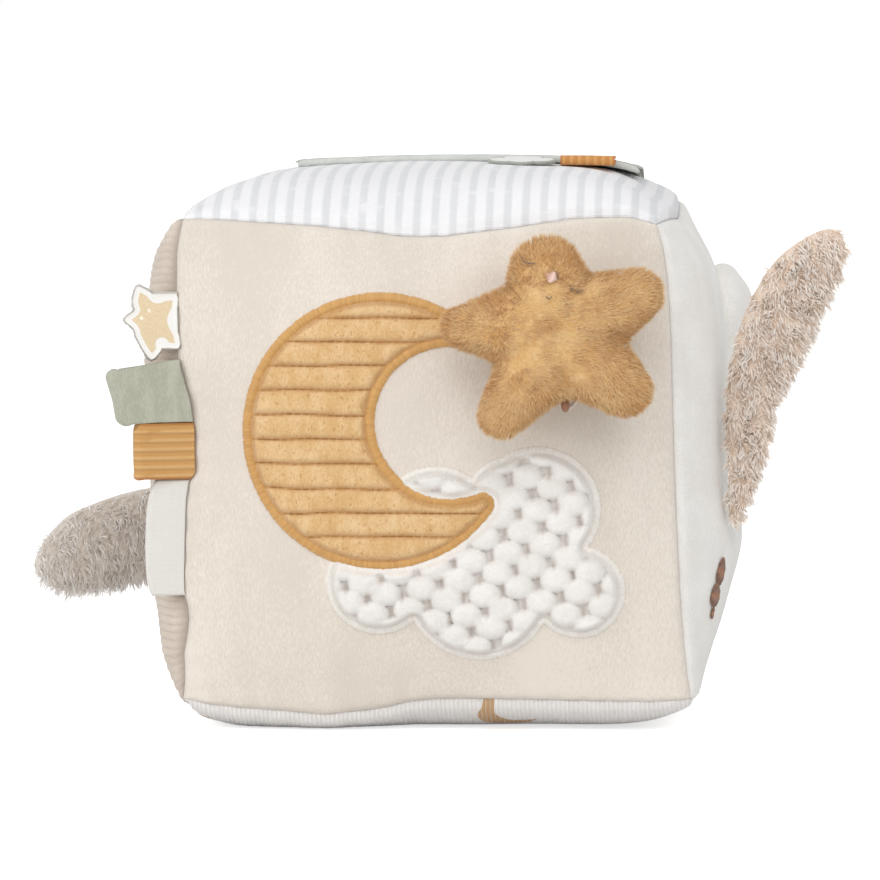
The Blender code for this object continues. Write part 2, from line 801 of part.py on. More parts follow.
def make_pull_unit(filling):
    """The case behind the eyelet with its reel, spring and off-centre weight, in its pocket."""
    rim = touch_gap / 2
    floor = case_half_width - case_wall
    inner_radius = case_radius - case_wall
    flange = drum_width / 2 + flange_thickness
    shoulder = flange + touch_gap
    shaft_end = floor - touch_gap
    base_profile = [
        (0, shaft_end),
        (shaft_radius, shaft_end),
        (shaft_radius, -shoulder),
        (shaft_radius * 2, -shoulder),
        (shaft_radius * 2, -floor),
        (inner_radius, -floor),
        (inner_radius, -rim),
        (case_radius, -rim),
        (case_radius, -case_half_width),
        (0, -case_half_width),
    ]
    cover_profile = [(0, -floor)] + base_profile[5:]
    base = turned(
        "pull_case_base", base_profile, Matrix.Translation(case_place) @ facing_left, "abs"
    )
    cover = turned(
        "pull_case_cover", cover_profile, Matrix.Translation(case_place) @ facing_right, "abs"
    )
    mouth_start = Vector((cord_x, case_place.y - case_radius - overrun, cord_z))
    mouth_end = Vector((cord_x, case_place.y - drum_radius, cord_z))
    mouth = cylinder_cutter("cord_mouth_cutter", mouth_start, mouth_end, bore_radius)
    cut(base, mouth)
    cut(cover, mouth)

    bore = shaft_radius + shaft_clearance
    web = spring_width + 2 * touch_gap - flange
    reel_profile = [
        (bore, flange),
        (flange_radius, flange),
        (flange_radius, drum_width / 2),
        (drum_radius, drum_width / 2),
        (drum_radius, -drum_width / 2),
        (flange_radius, -drum_width / 2),
        (flange_radius, -flange),
        (spring_pocket_radius, -flange),
        (spring_pocket_radius, web),
        (bore, web),
    ]
    reel = turned(
        "cord_reel", reel_profile, Matrix.Translation(case_place) @ facing_left, "abs", steps=32
    )

    inner = shaft_radius + 2 * spring_thickness
    outer = spring_pocket_radius - 2 * spring_thickness
    steps = round(spring_turns * 14)
    spiral = []
    for i in range(steps + 1):
        angle = math.tau * spring_turns * i / steps
        radius = inner + (outer - inner) * i / steps
        spiral.append((radius, Vector((math.cos(angle), math.sin(angle)))))
    strip = [radius * way for radius, way in spiral]
    strip += [(radius + spring_thickness) * way for radius, way in reversed(spiral)]
    spring_shift = Matrix.Translation((flange - touch_gap - spring_width / 2, 0, 0))
    spring = plate(
        "return_spring",
        [strip],
        spring_width,
        Matrix.Translation(case_place) @ spring_shift @ facing_left,
        "spring_steel",
    )

    hub = shaft_radius + shaft_clearance
    middle = Vector((0, 0))
    half_disc = arc(middle, weight_radius, 0, math.pi, 14)
    half_disc += arc(middle, hub, math.pi, 0, 6, clockwise=True)
    weight_shift = -(flange + touch_gap + weight_thickness / 2)
    weight = plate(
        "buzz_weight",
        [half_disc],
        weight_thickness,
        Matrix.Translation(case_place + Vector((weight_shift, 0, 0))) @ facing_left,
        "spring_steel",
    )

    pocket_radius = case_radius + touch_gap
    ahead = -(case_radius + overrun)
    slot = arc(middle, pocket_radius, -math.pi / 2, math.pi / 2, 20)
    slot += [Vector((ahead, pocket_radius)), Vector((ahead, -pocket_radius))]
    slot_turn = Matrix.Translation(case_place) @ facing_left @ Matrix.Rotation(math.pi / 2, 4, "Z")
    slot_width = case_width + 2 * touch_gap
    slot_plate = plate("pull_pocket_cutter", [slot], slot_width, slot_turn, "fibre")
    cut(filling, hide_cutter(as_mesh(slot_plate)))
    return reel, weight, base, cover, spring


def make_rattle(filling):
    """The rattle's two cups and its ball, in a pocket that is open at the back."""
    place = Vector((0, rattle_setback, centre_height))
    inner = rattle_radius - rattle_wall
    rim = touch_gap / 2
    arc_in = [(r, h - rim) for r, h in quarter(inner, -90, 0, 7)]
    arc_out = [(r, h - rim) for r, h in quarter(rattle_radius, 0, -90, 7)]
    facing_back = Matrix.Rotation(math.radians(-90), 4, "X")
    for name, turn in (("rattle_cup_front", facing_back), ("rattle_cup_back", facing_front)):
        turned(name, arc_in + arc_out, Matrix.Translation(place) @ turn, "abs", steps=20)
    drop = inner - rattle_ball_radius - touch_gap
    bm = bmesh.new()
    bmesh.ops.create_uvsphere(bm, u_segments=14, v_segments=8, radius=rattle_ball_radius)
    bmesh.ops.translate(bm, vec=place - Vector((0, 0, drop)), verts=bm.verts)
    ball = mesh_piece("rattle_ball", bm, "abs")

    pocket = rattle_radius + touch_gap
    way_out = half_edge + back_crown
    profile = [(0, way_out), (pocket, way_out)] + quarter(pocket, 0, -90, 7)
    cutter = turned(
        "rattle_pocket_cutter", profile, Matrix.Translation(place) @ facing_back, "fibre", steps=20
    )
    cut(filling, hide_cutter(cutter))
    return ball


def seam_point(height):
    """The front left seam at a height."""
    share = (height - centre_height) / half_edge
    return crowned_point((-1, -1, share))


def tag_frame(height, root_thickness):
    """The place and turn of a tag's root in the front left seam. Its length runs along X."""
    place = seam_point(height) + Vector((tag_root_lap, -root_thickness / 2 - 2 * touch_gap, 0))
    return Matrix.Translation(place) @ Matrix.Rotation(math.radians(180 + tag_turn_degrees), 4, "Z")


def ribbon_loop(name, length, width, bulb, thickness, matrix, finish):
    """A folded ribbon: two layers sewn together at the root, open towards a round fold."""
    centre = Vector((length - bulb / 2, 0))

    def teardrop(apex, half_root, radius):
        lean = math.asin((radius - half_root) / (centre.x - apex))
        start, end = -math.pi / 2 - lean, math.pi / 2 + lean
        fold = arc(centre, radius, start, end, 12)
        root = [Vector((apex, half_root)), Vector((apex, -half_root))] if half_root else [
            Vector((apex, 0))
        ]
        return root + fold

    outside = teardrop(0, thickness + touch_gap / 2, bulb / 2)
    inside = teardrop(length / 4, 0, bulb / 2 - thickness)
    return plate(name, [outside, inside], width, matrix, finish)


def make_seam_tags():
    """The four tags in the front left seam."""
    frame = tag_frame(star_tag_height, star_tag_thickness)
    arms = tuple((turn + 24, 1, 0.20, 0.56) for turn in (-144, -72, 0, 72, 144))
    points = star_points(star_tag_reach, arms)
    centre = Vector((star_tag_tab * 0.62, 0))
    outline = [centre + point for point in closed_spline(points, 2)]
    half_tab = star_tag_tab / 2
    tab = [
        Vector((0, -half_tab)),
        Vector((centre.x, -half_tab)),
        Vector((centre.x, half_tab)),
        Vector((0, half_tab)),
    ]
    upright = frame @ facing_front
    star_tag = as_mesh(plate("star_tag", [outline], star_tag_thickness, upright, "white_satin"))
    tab_cutter = as_mesh(plate("star_tag_tab", [tab], star_tag_thickness, upright, "white_satin"))
    cut(star_tag, hide_cutter(tab_cutter), "UNION")
    tags = {"star_tag": (star_tag, frame.translation)}
    loops = (
        ("green_loop", green_loop_height, green_loop_length, green_loop_width,
         green_loop_bulb, green_loop_thickness, "sage_velour"),
        ("ochre_loop", ochre_loop_height, ochre_loop_length, ochre_loop_width,
         ochre_loop_bulb, ochre_loop_thickness, "ochre_ribbon"),
        ("blank_label", label_height, label_length, label_width,
         label_bulb, label_thickness, "white_satin"),
    )
    for name, height, length, width, bulb, thickness, finish in loops:
        frame = tag_frame(height, 2 * thickness + touch_gap)
        tag = ribbon_loop(name, length, width, bulb, thickness, frame, finish)
        tags[name] = (tag, frame.translation)
    return tags


def flap_point(a, b, level):
    """A place on the flap, level above its underside. It lifts off the panel to the right."""
    along = (1 + a) / 2
    x = flap_left_share + (flap_right_share - flap_left_share) * along
    y = flap_front_share + (flap_back_share - flap_front_share) * (1 + b) / 2
    raised = touch_gap + flap_lift * along**2 * (1 - b) / 2
    return crowned_point((x, y, 1), -raised - level)


def flap_sheet(name, base, thickness, margin, finish):
    """One layer of the flap, from base to base plus thickness above its underside."""
    shrink = 1 - margin / half_edge
    bm = thicken(
        sheet(*flap_cells),
        lambda a, b: flap_point(a * shrink, b * shrink, base + thickness),
        lambda a, b: flap_point(a * shrink, b * shrink, base),
    )
    return mesh_piece(name, bm, finish)


def make_flap():
    """The flap's three layers, with a leaf tag and a ribbon loop at its front edge."""
    film_base = flap_fabric_thickness + touch_gap
    top_base = film_base + flap_film_thickness + touch_gap
    layers = [
        flap_sheet("flap_lining", 0, flap_fabric_thickness, 0, "sage_cotton"),
        flap_sheet("flap_film", film_base, flap_film_thickness, flap_margin, "film"),
        flap_sheet("flap_top", top_base, flap_fabric_thickness, 0, "sage_cotton"),
    ]
    middle = film_base + flap_film_thickness / 2

    def edge_frame(share, thickness, droop):
        along = 2 * (share - flap_left_share) / (flap_right_share - flap_left_share) - 1
        place = flap_point(along, -1, middle)
        place.y -= 2 * touch_gap
        place.z += max(thickness / 2 - middle, 0)
        forward = Matrix.Rotation(math.radians(-90), 4, "Z")
        tilt = Matrix.Rotation(math.radians(droop), 4, "X")
        return Matrix.Translation(place) @ tilt @ forward

    leaf_frame = edge_frame(leaf_tag_share, leaf_tag_thickness, leaf_tag_droop_degrees)
    lobes = [
        (Vector((x, y)) * leaf_tag_length, radius * leaf_tag_length)
        for x, y, radius in leaf_lobe_shares
    ]
    leaf = plate(
        "leaf_tag", [lobed_outline(lobes, 7)], leaf_tag_thickness, leaf_frame, "white_satin"
    )
    loop_frame = edge_frame(flap_loop_share, flap_loop_bulb, 0)
    loop = ribbon_loop(
        "flap_loop",
        flap_loop_length,
        ochre_loop_width,
        flap_loop_bulb,
        ochre_loop_thickness,
        loop_frame @ facing_front,
        "ochre_ribbon",
    )
    return layers, (leaf, leaf_frame.translation), (loop, loop_frame.translation)


def ear_half(name, outline, skin, depth, finish):
    """One padded side of an ear. skin gives the place of a flat point at a depth off the seam."""
    spokes = len(outline)
    middle = sum(outline, Vector((0, 0))) / spokes
    rim = math.copysign(touch_gap / 2, depth)

    def at(spoke, share, full):
        flat = middle + (outline[round(spoke)] - middle) * share
        return skin(flat, rim + full * pillow(share))

    bm = thicken(disc(spokes, 5), lambda a, b: at(a, b, depth), lambda a, b: at(a, b, 0))
    return mesh_piece(name, bm, finish)


def make_right_ear():
    """The right ear: a shaggy leaf that faces the front, on a root that lies along the panel."""
    foot_height, foot_depth = right_ear_foot
    turn = math.radians(right_ear_turn_degrees)
    middle_height = foot_height + right_ear_height / 2
    root = on_face(RIGHT, foot_depth, middle_height)
    across = Vector((math.cos(turn), math.sin(turn), 0))
    back = Vector((-math.sin(turn), math.cos(turn), 0))
    shares = [Vector((x * right_ear_width, z * right_ear_height)) for x, z in right_ear_shares]
    outline = closed_spline(shares, 2)

    def skin(flat, depth):
        leant = cube_lean * (right_ear_height / 2 - flat.y) / cube_edge
        foot = Vector((root.x + leant, root.y, foot_height + flat.y))
        return foot + across * flat.x + back * depth

    pieces = [
        ear_half("right_ear_inner", outline, skin, -ear_pile_depth, "shaggy_plush"),
        ear_half("right_ear_outer", outline, skin, ear_back_depth, "white_plush"),
    ]
    spokes = 24

    def pad(spoke, share, depth):
        angle = math.tau * spoke / spokes
        low, high = ear_root_face_share
        bottom, top = ear_root_height_share
        y = (low + high) / 2 + (high - low) / 2 * share * math.cos(angle)
        z = (bottom + top) / 2 + (top - bottom) / 2 * share * math.sin(angle)
        return crowned_point((1, y, z), -touch_gap - depth * pillow(share))

    bm = thicken(
        disc(spokes, 5), lambda a, b: pad(a, b, ear_root_depth), lambda a, b: pad(a, b, 0)
    )
    pieces.append(mesh_piece("right_ear_root", bm, "white_plush"))
    return pieces, root


def make_left_ear():
    """The left ear, which leaves the back left seam and bends forwards."""
    share = (left_ear_root_height - centre_height) / half_edge
    axis = crowned_point((-1, 1, share))
    root = axis + Vector((-touch_gap, touch_gap, 0)) * 4
    bend, tip = Vector(left_ear_bend), Vector(left_ear_tip)
    shares = [Vector((x * left_ear_width, along)) for x, along in left_ear_shares]
    outline = closed_spline(shares, 2)

    def skin(flat, depth):
        t = flat.y
        place = (1 - t) ** 2 * root + 2 * t * (1 - t) * bend + t**2 * tip
        run = ((bend - root) * (1 - t) + (tip - bend) * t).normalized()
        back = run.cross(Vector((0, 0, 1))).normalized()
        up = back.cross(run)
        return place + up * flat.x + back * depth

    pieces = [
        ear_half("left_ear_inner", outline, skin, -ear_pile_depth * 0.75, "shaggy_plush"),
        ear_half("left_ear_outer", outline, skin, ear_back_depth, "white_plush"),
    ]
    return pieces, axis


def carry(name, place, pieces):
    """Hangs the pieces of a moving body on an empty that stands on its joint's axis."""
    empty = bpy.data.objects.new(name, None)
    empty.location = place
    empty.empty_display_size = cube_edge / 20
    block.objects.link(empty)
    bpy.context.view_layer.update()
    for piece in pieces:
        piece.parent = empty
        piece.matrix_parent_inverse = empty.matrix_world.inverted()
    print(name, "axis through", " ".join(f"{value:.5f}" for value in place))


def build():
    panels = make_panels()
    filling = make_filling()
    make_moon()
    make_cloud()
    star = make_star()
    cord, knot = make_cord(panels["front_panel"])
    reel, weight, *_ = make_pull_unit(filling)
    ball = make_rattle(filling)
    tags = make_seam_tags()
    flap, leaf, loop = make_flap()
    right_ear, right_axis = make_right_ear()
    left_ear, left_axis = make_left_ear()

    carry("cord_axis", knot_place, [cord])
    carry("star_axis", knot_place, star + [knot])
    carry("reel_axis", case_place, [reel, weight])
    carry("ball_axis", Vector((0, rattle_setback, centre_height)), [ball])
    for name, (tag, place) in tags.items():
        carry(name + "_axis", place, [tag])
    carry("flap_axis", flap_point(0, 1, flap_fabric_thickness * 3), flap)
    carry("leaf_tag_axis", leaf[1], [leaf[0]])
    carry("flap_loop_axis", loop[1], [loop[0]])
    carry("right_ear_axis", right_axis, right_ear)
    carry("left_ear_axis", left_axis, left_ear)


for item in list(bpy.data.objects):
    bpy.data.objects.remove(item)
block = new_collection("fabric_activity_block")
cutters = new_collection("cutters")
build()
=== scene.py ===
"""Looks of the soft fabric activity block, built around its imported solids.

X runs to the right, Y to the back and Z up, in metres.
"""

from __future__ import annotations

import json
import logging
import math
from dataclasses import dataclass, field
from enum import Enum
from typing import Callable, Sequence

import bpy
import numpy as np
from mathutils.kdtree import KDTree
from mathutils import Vector, noise
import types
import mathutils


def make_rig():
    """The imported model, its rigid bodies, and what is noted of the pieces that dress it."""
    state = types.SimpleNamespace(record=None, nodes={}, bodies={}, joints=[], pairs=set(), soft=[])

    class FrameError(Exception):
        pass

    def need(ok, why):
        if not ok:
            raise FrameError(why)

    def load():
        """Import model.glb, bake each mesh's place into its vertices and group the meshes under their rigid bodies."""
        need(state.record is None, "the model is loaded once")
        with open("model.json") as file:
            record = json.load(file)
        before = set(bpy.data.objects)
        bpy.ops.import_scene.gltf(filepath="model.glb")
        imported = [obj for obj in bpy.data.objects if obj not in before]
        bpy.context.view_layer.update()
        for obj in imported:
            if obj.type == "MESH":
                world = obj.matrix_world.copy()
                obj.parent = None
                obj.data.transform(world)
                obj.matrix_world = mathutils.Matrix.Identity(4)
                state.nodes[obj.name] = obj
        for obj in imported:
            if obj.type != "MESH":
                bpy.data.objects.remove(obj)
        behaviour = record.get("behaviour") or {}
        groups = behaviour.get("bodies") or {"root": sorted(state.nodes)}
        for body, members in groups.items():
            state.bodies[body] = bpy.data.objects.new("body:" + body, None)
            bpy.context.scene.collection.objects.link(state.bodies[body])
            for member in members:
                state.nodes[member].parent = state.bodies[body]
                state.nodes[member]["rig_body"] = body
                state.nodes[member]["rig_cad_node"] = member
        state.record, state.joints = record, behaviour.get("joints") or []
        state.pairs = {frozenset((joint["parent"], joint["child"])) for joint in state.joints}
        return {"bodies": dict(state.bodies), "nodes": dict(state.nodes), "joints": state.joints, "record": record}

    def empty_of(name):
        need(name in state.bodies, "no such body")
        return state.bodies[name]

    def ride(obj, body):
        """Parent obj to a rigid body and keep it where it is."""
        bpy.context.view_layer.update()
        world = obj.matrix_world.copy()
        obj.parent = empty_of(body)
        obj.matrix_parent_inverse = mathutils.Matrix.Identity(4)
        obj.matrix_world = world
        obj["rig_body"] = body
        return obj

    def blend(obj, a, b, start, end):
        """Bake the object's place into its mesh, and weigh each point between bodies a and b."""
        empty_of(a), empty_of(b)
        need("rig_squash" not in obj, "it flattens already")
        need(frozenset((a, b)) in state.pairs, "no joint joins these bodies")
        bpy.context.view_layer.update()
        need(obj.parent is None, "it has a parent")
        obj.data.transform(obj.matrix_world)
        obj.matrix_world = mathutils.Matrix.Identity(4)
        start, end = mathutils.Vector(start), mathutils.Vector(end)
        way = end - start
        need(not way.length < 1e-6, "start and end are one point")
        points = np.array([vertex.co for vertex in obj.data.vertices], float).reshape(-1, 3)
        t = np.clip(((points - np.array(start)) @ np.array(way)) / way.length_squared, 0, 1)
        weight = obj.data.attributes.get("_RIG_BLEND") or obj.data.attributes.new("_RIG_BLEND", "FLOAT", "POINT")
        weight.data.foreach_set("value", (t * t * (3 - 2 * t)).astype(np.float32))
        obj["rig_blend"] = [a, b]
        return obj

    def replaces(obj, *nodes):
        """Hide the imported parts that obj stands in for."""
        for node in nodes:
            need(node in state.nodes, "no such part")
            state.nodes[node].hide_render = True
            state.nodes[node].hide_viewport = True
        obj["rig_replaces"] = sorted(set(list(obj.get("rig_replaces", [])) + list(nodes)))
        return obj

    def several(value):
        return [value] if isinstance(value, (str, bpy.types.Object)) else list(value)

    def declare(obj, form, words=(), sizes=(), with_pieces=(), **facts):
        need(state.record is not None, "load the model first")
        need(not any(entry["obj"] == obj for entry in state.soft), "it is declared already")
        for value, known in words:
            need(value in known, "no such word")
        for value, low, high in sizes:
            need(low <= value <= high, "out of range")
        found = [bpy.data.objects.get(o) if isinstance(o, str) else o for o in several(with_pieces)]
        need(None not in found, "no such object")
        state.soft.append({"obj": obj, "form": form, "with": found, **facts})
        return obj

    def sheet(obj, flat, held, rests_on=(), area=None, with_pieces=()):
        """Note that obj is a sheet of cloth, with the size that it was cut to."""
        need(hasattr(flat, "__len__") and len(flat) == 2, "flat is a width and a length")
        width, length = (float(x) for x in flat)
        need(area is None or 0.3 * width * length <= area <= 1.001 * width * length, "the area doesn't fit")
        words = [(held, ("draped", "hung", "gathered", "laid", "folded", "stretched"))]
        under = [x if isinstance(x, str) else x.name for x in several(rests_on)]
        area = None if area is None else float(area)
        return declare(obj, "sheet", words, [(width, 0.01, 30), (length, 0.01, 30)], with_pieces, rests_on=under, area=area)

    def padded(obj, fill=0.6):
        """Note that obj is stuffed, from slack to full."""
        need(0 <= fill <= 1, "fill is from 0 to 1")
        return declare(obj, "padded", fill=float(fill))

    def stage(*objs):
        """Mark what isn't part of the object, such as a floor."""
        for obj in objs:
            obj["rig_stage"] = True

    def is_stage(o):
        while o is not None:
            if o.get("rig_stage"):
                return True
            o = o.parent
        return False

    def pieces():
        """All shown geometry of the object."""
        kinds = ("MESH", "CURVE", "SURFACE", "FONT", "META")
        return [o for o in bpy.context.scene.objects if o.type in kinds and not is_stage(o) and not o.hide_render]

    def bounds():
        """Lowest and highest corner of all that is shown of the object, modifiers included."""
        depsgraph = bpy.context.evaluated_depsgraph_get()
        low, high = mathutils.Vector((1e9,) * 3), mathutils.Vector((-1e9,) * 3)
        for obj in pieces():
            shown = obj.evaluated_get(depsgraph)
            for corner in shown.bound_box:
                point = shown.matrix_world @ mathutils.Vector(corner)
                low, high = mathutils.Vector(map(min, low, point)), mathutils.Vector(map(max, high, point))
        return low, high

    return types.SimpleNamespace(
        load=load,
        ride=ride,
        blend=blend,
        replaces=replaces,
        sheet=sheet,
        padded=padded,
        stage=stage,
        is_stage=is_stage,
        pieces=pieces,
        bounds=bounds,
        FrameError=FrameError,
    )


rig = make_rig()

log = logging.getLogger("block")
Array = np.ndarray
Colour = tuple[float, float, float, float]
Piece = bpy.types.Object
Material = bpy.types.Material
Socket = bpy.types.NodeSocket
Surface = Callable[[Array, Array, Array], Array]


def srgb(code: str) -> Colour:
    """The linear colour of a hex code."""
    parts = [int(code[i : i + 2], 16) / 255 for i in (1, 3, 5)]
    red, green, blue = (p / 12.92 if p <= 0.04045 else ((p + 0.055) / 1.055) ** 2.4 for p in parts)
    return red, green, blue, 1.0


class Face(Enum):
    """The cube's faces, each as its axis and side."""

    LEFT = (0, -1)
    RIGHT = (0, 1)
    FRONT = (1, -1)
    BACK = (1, 1)
    BOTTOM = (2, -1)
    TOP = (2, 1)


class Way(Enum):
    """The object axis that a pattern runs across."""

    X = "X"
    Y = "Y"
    Z = "Z"


# ---- Materials


class Paint:
    """One material and the nodes that feed its shader."""

    def __init__(self, name: str, roughness: float, sheen: float = 0.0) -> None:
        """Starts a material.

        Args:
            name: The material's name.
            roughness: The roughness of its surface.
            sheen: How much of the soft light of fibre ends it shows.
        """
        self.material = bpy.data.materials.new(name)
        self.material.use_nodes = True
        self.tree = self.material.node_tree
        self.shader = self.tree.nodes["Principled BSDF"]
        self.shader.inputs["Roughness"].default_value = roughness
        self.shader.inputs["Sheen Weight"].default_value = sheen
        self.shader.inputs["Sheen Roughness"].default_value = 0.6
        self.place = self.node("ShaderNodeTexCoord").outputs["Object"]

    def node(self, kind: str, inputs: dict | None = None, **settings: object) -> bpy.types.Node:
        """Adds a node.

        Args:
            kind: The node's type.
            inputs: Values or sockets for its inputs, by name or number.
            settings: Its properties.

        Returns:
            The node.
        """
        made = self.tree.nodes.new(kind)
        for key, value in settings.items():
            setattr(made, key, value)
        for key, value in (inputs or {}).items():
            if isinstance(value, Socket):
                self.tree.links.new(value, made.inputs[key])
            else:
                made.inputs[key].default_value = value
        return made

    def noise(
        self, size: float, detail: float = 2.0, stretch: Sequence[float] = (1, 1, 1)
    ) -> Socket:
        """Noise from 0 to 1 with patches of that size, longer along an axis stretched below 1."""
        moved = self.node("ShaderNodeMapping", {"Vector": self.place, "Scale": tuple(stretch)})
        made = self.node(
            "ShaderNodeTexNoise", {"Vector": moved.outputs[0], "Scale": 1 / size, "Detail": detail}
        )
        return made.outputs["Fac"]

    def math(self, operation: str, first: object, second: object = 0.5) -> Socket:
        """One step of arithmetic on sockets or numbers."""
        return self.node("ShaderNodeMath", {0: first, 1: second}, operation=operation).outputs[0]

    def ramp(self, value: object, low: float, high: float) -> Socket:
        """A smooth step from 0 at low to 1 at high."""
        made = self.node(
            "ShaderNodeMapRange", {
                "Value": value, "From Min": low, "From Max": high
            }, interpolation_type="SMOOTHSTEP"
        )
        return made.outputs[0]

    def attribute(self, name: str) -> Socket:
        """A number kept at the mesh's points."""
        return self.node("ShaderNodeAttribute", attribute_name=name).outputs["Fac"]

    def mix(self, factor: object, first: object, second: object) -> Socket:
        """A colour between two others."""
        made = self.node("ShaderNodeMix", {0: factor, 6: first, 7: second}, data_type="RGBA")
        return made.outputs[2]

    def wave(self, way: Way, pitch: float) -> Socket:
        """A cosine from 0 to 1 across an object axis."""
        axis = self.node("ShaderNodeSeparateXYZ", {0: self.place}).outputs[way.value]
        turn = self.math("MULTIPLY", axis, math.tau / pitch)
        return self.math("MULTIPLY_ADD", self.math("COSINE", turn, 0.0), 0.5)

    def colour(self, value: object) -> None:
        """Sets or feeds the base colour."""
        if isinstance(value, Socket):
            self.tree.links.new(value, self.shader.inputs["Base Color"])
        else:
            self.shader.inputs["Base Color"].default_value = value

    def bump(self, height: Socket, depth: float, under: Socket | None = None) -> Socket:
        """Raises the surface by depth where height is 1, over another bump if there is one."""
        inputs = {"Height": height, "Distance": depth, "Strength": 1.0}
        if under is not None:
            inputs["Normal"] = under
        made = self.node("ShaderNodeBump", inputs).outputs[0]
        self.tree.links.new(made, self.shader.inputs["Normal"])
        return made


@dataclass(frozen=True)
class Plush:
    """Pile fabric: soft patches, fine tufts and hollows darkened with painted shade."""

    name: str
    light: str
    dark: str
    # hollow is the colour of painted shade; the gold plush's real dark flecks use it too.
    hollow: str
    tuft: float = 0.0007
    relief: float = 0.0003
    patch: float = 0.012
    sheen: float = 0.25
    stretch: tuple[float, float, float] = (1, 1, 1)
    fleck: float = 0.0

    def make(self) -> Material:
        """Builds the material. A point attribute named hollow darkens it from 0 to 1 with painted shade in the hollow
        colour.
        """
        paint = Paint(self.name, 0.92, self.sheen)
        patches = paint.noise(self.patch, 3, self.stretch)
        tufts = paint.noise(self.tuft, 3, self.stretch)
        mottled = paint.math("MULTIPLY_ADD", paint.math("SUBTRACT", tufts, 0.5), 0.9)
        paint.tree.links.new(patches, mottled.node.inputs[2])
        cloth = paint.mix(paint.ramp(mottled, 0.30, 0.75), srgb(self.dark), srgb(self.light))
        if self.fleck:
            fleck = paint.ramp(paint.noise(0.0007, 2, self.stretch), 0.60, 0.70)
            cloth = paint.mix(paint.math("MULTIPLY", fleck, self.fleck), cloth, srgb(self.hollow))
        # Painted shade: the hollow attribute darkens creases, seams, grooves and gaps towards the hollow colour.
        paint.colour(paint.mix(paint.attribute("hollow"), cloth, srgb(self.hollow)))
        coarse = paint.bump(patches, self.relief * 1.5)
        paint.bump(tufts, self.relief, coarse)
        return paint.material


@dataclass(frozen=True)
class Fur:
    """Separate fibres, darker at the root than at the tip, partly in their own tone and partly as painted shade deep
    in the pile.
    """

    name: str
    root: str
    tip: str
    other: str
    # deep is the colour of painted shadow where the shade attribute is set, and the real tone of the few dark strokes.
    deep: str = "#A67C55"
    strokes: float = 0.08

    def make(self) -> Material:
        """Builds the material from the point attributes tip, fibre and shade, where shade is painted shadow."""
        paint = Paint(self.name, 0.8, 0.2)
        # Root to tip: the darker root is partly painted shade deep in the pile.
        length = paint.mix(
            paint.ramp(paint.attribute("tip"), 0.0, 0.9), srgb(self.root), srgb(self.tip)
        )
        patches = paint.ramp(paint.noise(0.009, 2), 0.35, 0.7)
        share = paint.math("MULTIPLY", paint.attribute("fibre"), patches)
        lit = paint.mix(share, length, srgb(self.other))
        # A few fibres are real dark strokes; the shade attribute paints shadow. Both mix towards the deep colour.
        few = paint.math("LESS_THAN", paint.attribute("fibre"), self.strokes)
        dark = paint.math("MAXIMUM", paint.attribute("shade"), paint.math("MULTIPLY", few, 0.5))
        paint.colour(paint.mix(dark, lit, srgb(self.deep)))
        return paint.material


@dataclass(frozen=True)
class Thread:
    """Satin stitches: glossy threads side by side, each a little lighter or darker."""

    name: str
    light: str
    dark: str

    def make(self) -> Material:
        """Builds the material from the point attributes thread and hollow, where hollow is painted shade."""
        paint = Paint(self.name, 0.5, 0.15)
        threads = paint.mix(paint.attribute("thread"), srgb(self.light), srgb(self.dark))
        # Painted shade in the dark colour: between threads, in grooves and along the foot of a band.
        paint.colour(paint.mix(paint.attribute("hollow"), threads, srgb(self.dark)))
        paint.bump(paint.noise(0.0003, 2), 0.00006)
        return paint.material


@dataclass(frozen=True)
class Woven:
    """Woven cloth or ribbon, with ribs or printed stripes across one axis."""

    name: str
    light: str
    dark: str
    stripes: Way
    pitch: float
    share: float = 0.5
    softness: float = 0.2
    relief: float = 0.0
    weave: float = 0.00045
    roughness: float = 0.8
    sheen: float = 0.1
    edge: str = ""

    def make(self) -> Material:
        """Builds the material. A point attribute named edge colours its selvedge."""
        paint = Paint(self.name, self.roughness, self.sheen)
        wave = paint.wave(self.stripes, self.pitch)
        limit = 0.5 + 0.5 * math.cos(math.pi * self.share)
        stripe = paint.ramp(wave, limit - self.softness, limit + self.softness)
        worn = paint.math("MULTIPLY", stripe, paint.ramp(paint.noise(0.006, 2), 0.2, 0.45))
        cloth = paint.mix(worn, srgb(self.light), srgb(self.dark))
        if self.edge:
            cloth = paint.mix(paint.attribute("edge"), cloth, srgb(self.edge))
        paint.colour(cloth)
        warp = paint.math("MULTIPLY", paint.wave(Way.X, self.weave), paint.wave(Way.Y, self.weave))
        weft = paint.math(
            "MAXIMUM", warp, paint.math("MULTIPLY", paint.wave(Way.Z, self.weave), 0.8)
        )
        under = paint.bump(weft, 0.00008)
        if self.relief:
            paint.bump(wave, self.relief, under)
        return paint.material


@dataclass(frozen=True)
class Moulded:
    """Plastic or metal of the parts inside."""

    name: str
    tone: str
    metal: bool = False

    def make(self) -> Material:
        """Builds the material."""
        paint = Paint(self.name, 0.35 if self.metal else 0.45)
        paint.shader.inputs["Metallic"].default_value = float(self.metal)
        paint.colour(paint.mix(paint.noise(0.004, 2), srgb(self.tone), srgb("#E9E7E2")))
        paint.bump(paint.noise(0.0006, 3), 0.00002)
        return paint.material


